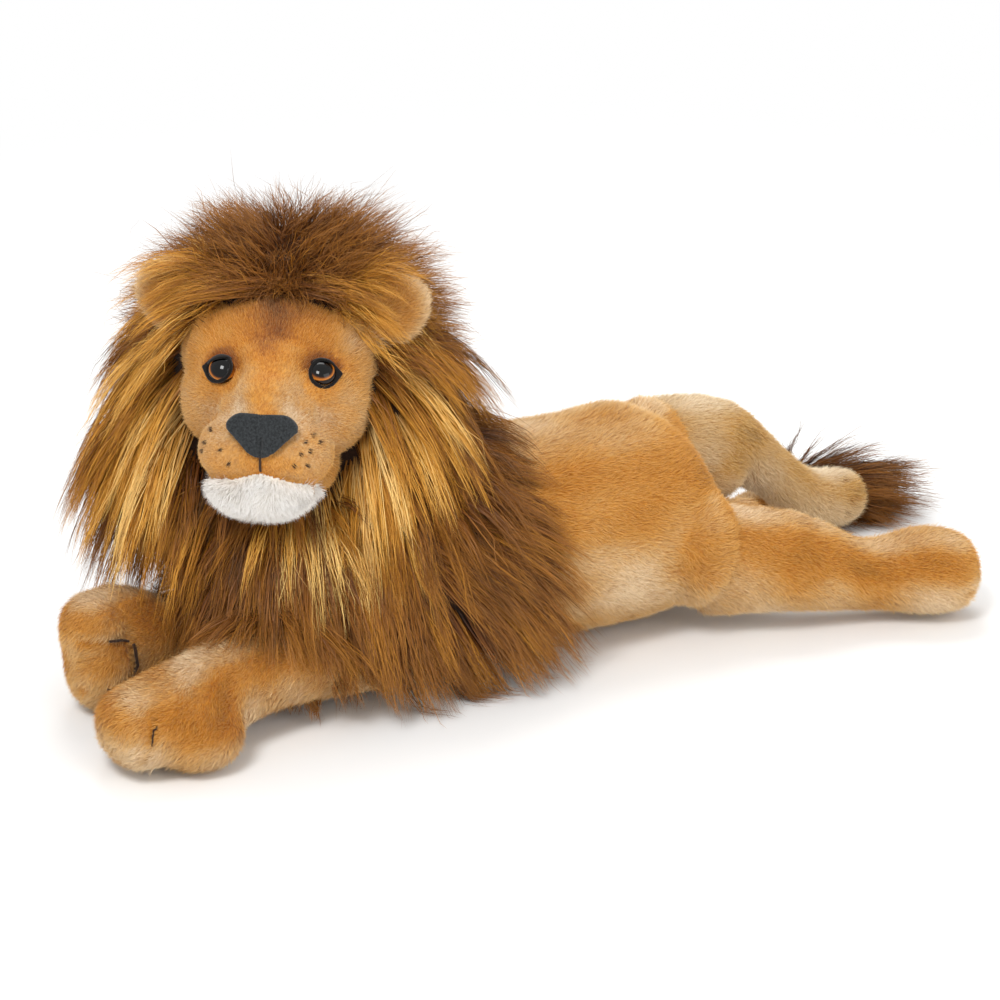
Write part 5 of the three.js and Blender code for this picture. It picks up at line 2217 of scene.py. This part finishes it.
@dataclass(frozen=True)
class Studio:
    """The floor, the light and the camera.

    Attributes:
        azimuth: The camera's angle round the lion, in degrees.
        elevation: Its angle above the floor, in degrees.
        distance: How far it is from its target, in millimetres.
        target: What it looks at, in millimetres.
        lens: Its focal length on a 36 mm sensor, in millimetres.
        floor_size: The length of the floor's side, in millimetres.
        floor_fade: Where the floor goes over to plain white, out from the middle, in metres.
        fill: The strength of the even light from all round.
        lamps: The soft boxes: name, place and side in millimetres, and light in watts.
    """

    azimuth: float = -25.0
    elevation: float = 22.0
    distance: float = 2200.0
    target: Triple = (0.0, 68.0, 66.0)
    lens: float = 120.0
    floor_size: float = 12000.0
    floor_fade: tuple[float, float] = (0.55, 1.3)
    fill: float = 0.62
    lamps: tuple[tuple[str, Triple, float, float], ...] = (
        ("key_softbox", (-1200, -1100, 2000), 700, 32),
        ("fill_softbox", (700, -2000, 1000), 1500, 16),
        ("top_softbox", (300, 900, 1700), 1000, 14),
    )

    def camera(self) -> None:
        """Sets up the camera at the photograph's angle."""
        turn, rise = math.radians(self.azimuth), math.radians(self.elevation)
        back = Vector((math.sin(turn) * math.cos(rise), -math.cos(turn) * math.cos(rise), math.sin(rise)))
        lens = bpy.data.cameras.new("camera")
        lens.lens, lens.sensor_width = self.lens, 36
        lens.clip_start, lens.clip_end = 0.05, 50
        camera = add_object("camera", lens)
        camera.location = Vector(metres(self.target)) + back * self.distance * MM
        camera.rotation_euler = (-back).to_track_quat("-Z", "Y").to_euler()
        bpy.context.scene.camera = camera

    def floor(self) -> None:
        """Lays a pale floor that keeps the lion's shadow and looks white around it."""
        deselect()
        bpy.ops.mesh.primitive_plane_add(size=self.floor_size * MM, location=(0, 0, 0))
        floor = bpy.context.object
        floor.name = "studio_floor"
        material, tree = blank_material("matt_white_studio_floor")
        paint = add_node(
            tree, "ShaderNodeBsdfPrincipled",
            {"Base Color": linear("#f7f7f6"), "Roughness": 0.9, "Specular IOR Level": 0.1},
        )
        place = add_node(tree, "ShaderNodeTexCoord")
        far = add_node(tree, "ShaderNodeVectorMath", {"operation": "LENGTH"}, {0: place.outputs["Object"]})
        near, plain = self.floor_fade
        fade = add_node(
            tree, "ShaderNodeMapRange",
            {"From Min": near, "From Max": plain, "interpolation_type": "SMOOTHSTEP"},
            {"Value": far.outputs["Value"]},
        )
        seen = add_node(
            tree, "ShaderNodeMath", {"operation": "MULTIPLY"},
            {0: fade.outputs["Result"], 1: background_rays(tree)},
        )
        white = add_node(tree, "ShaderNodeEmission", {"Color": linear("#ffffff"), "Strength": 1.0})
        mixed = add_node(
            tree, "ShaderNodeMixShader",
            links={0: seen.outputs[0], 1: paint.outputs["BSDF"], 2: white.outputs["Emission"]},
        )
        show(tree, mixed.outputs[0])
        dress(floor, material)
        floor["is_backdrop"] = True

    def light(self) -> None:
        """Adds the soft boxes, which face the lion."""
        for name, place, size, power in self.lamps:
            box = bpy.data.lights.new(name, "AREA")
            box.energy, box.size = power, size * MM
            lamp = add_object(name, box)
            lamp.location = metres(place)
            sight = Vector(metres(self.target)) - lamp.location
            lamp.rotation_euler = sight.to_track_quat("-Z", "Y").to_euler()

    def world(self) -> None:
        """Fills the shadows with even light, and shows white behind the lion."""
        world = bpy.data.worlds.new("studio_world")
        bpy.context.scene.world = world
        world.use_nodes = True
        tree = world.node_tree
        tree.nodes.clear()
        fill = add_node(tree, "ShaderNodeBackground", {"Color": linear("#ffffff"), "Strength": self.fill})
        white = add_node(tree, "ShaderNodeBackground", {"Color": linear("#ffffff"), "Strength": 1.0})
        mixed = add_node(
            tree, "ShaderNodeMixShader",
            links={0: background_rays(tree), 1: fill.outputs["Background"], 2: white.outputs["Background"]},
        )
        add_node(tree, "ShaderNodeOutputWorld", links={"Surface": mixed.outputs[0]})

    def build(self) -> None:
        """Sets up the whole studio."""
        bpy.context.scene.view_settings.view_transform = "Standard"
        self.camera()
        self.floor()
        self.world()
        self.light()


def write_sizes() -> None:
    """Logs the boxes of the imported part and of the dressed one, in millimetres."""
    boxes = {
        "cad": [list(corner) for corner in CAD_BOX],
        "visual": [list(corner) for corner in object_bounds()],
    }
    for name, (low, high) in boxes.items():
        LOG.info("%s box %s %s mm", name, [round(x / MM) for x in low], [round(x / MM) for x in high])


def main() -> None:
    """Builds the studio and every part of the lion."""
    logging.basicConfig(level=logging.INFO, format="%(message)s")
    Studio().build()
    for part in body_parts():
        part.build()
    Head().build()
    for section in mane_sections():
        section.build()
    Tuft().build()
    write_sizes()


if __name__ == "__main__":
    main()
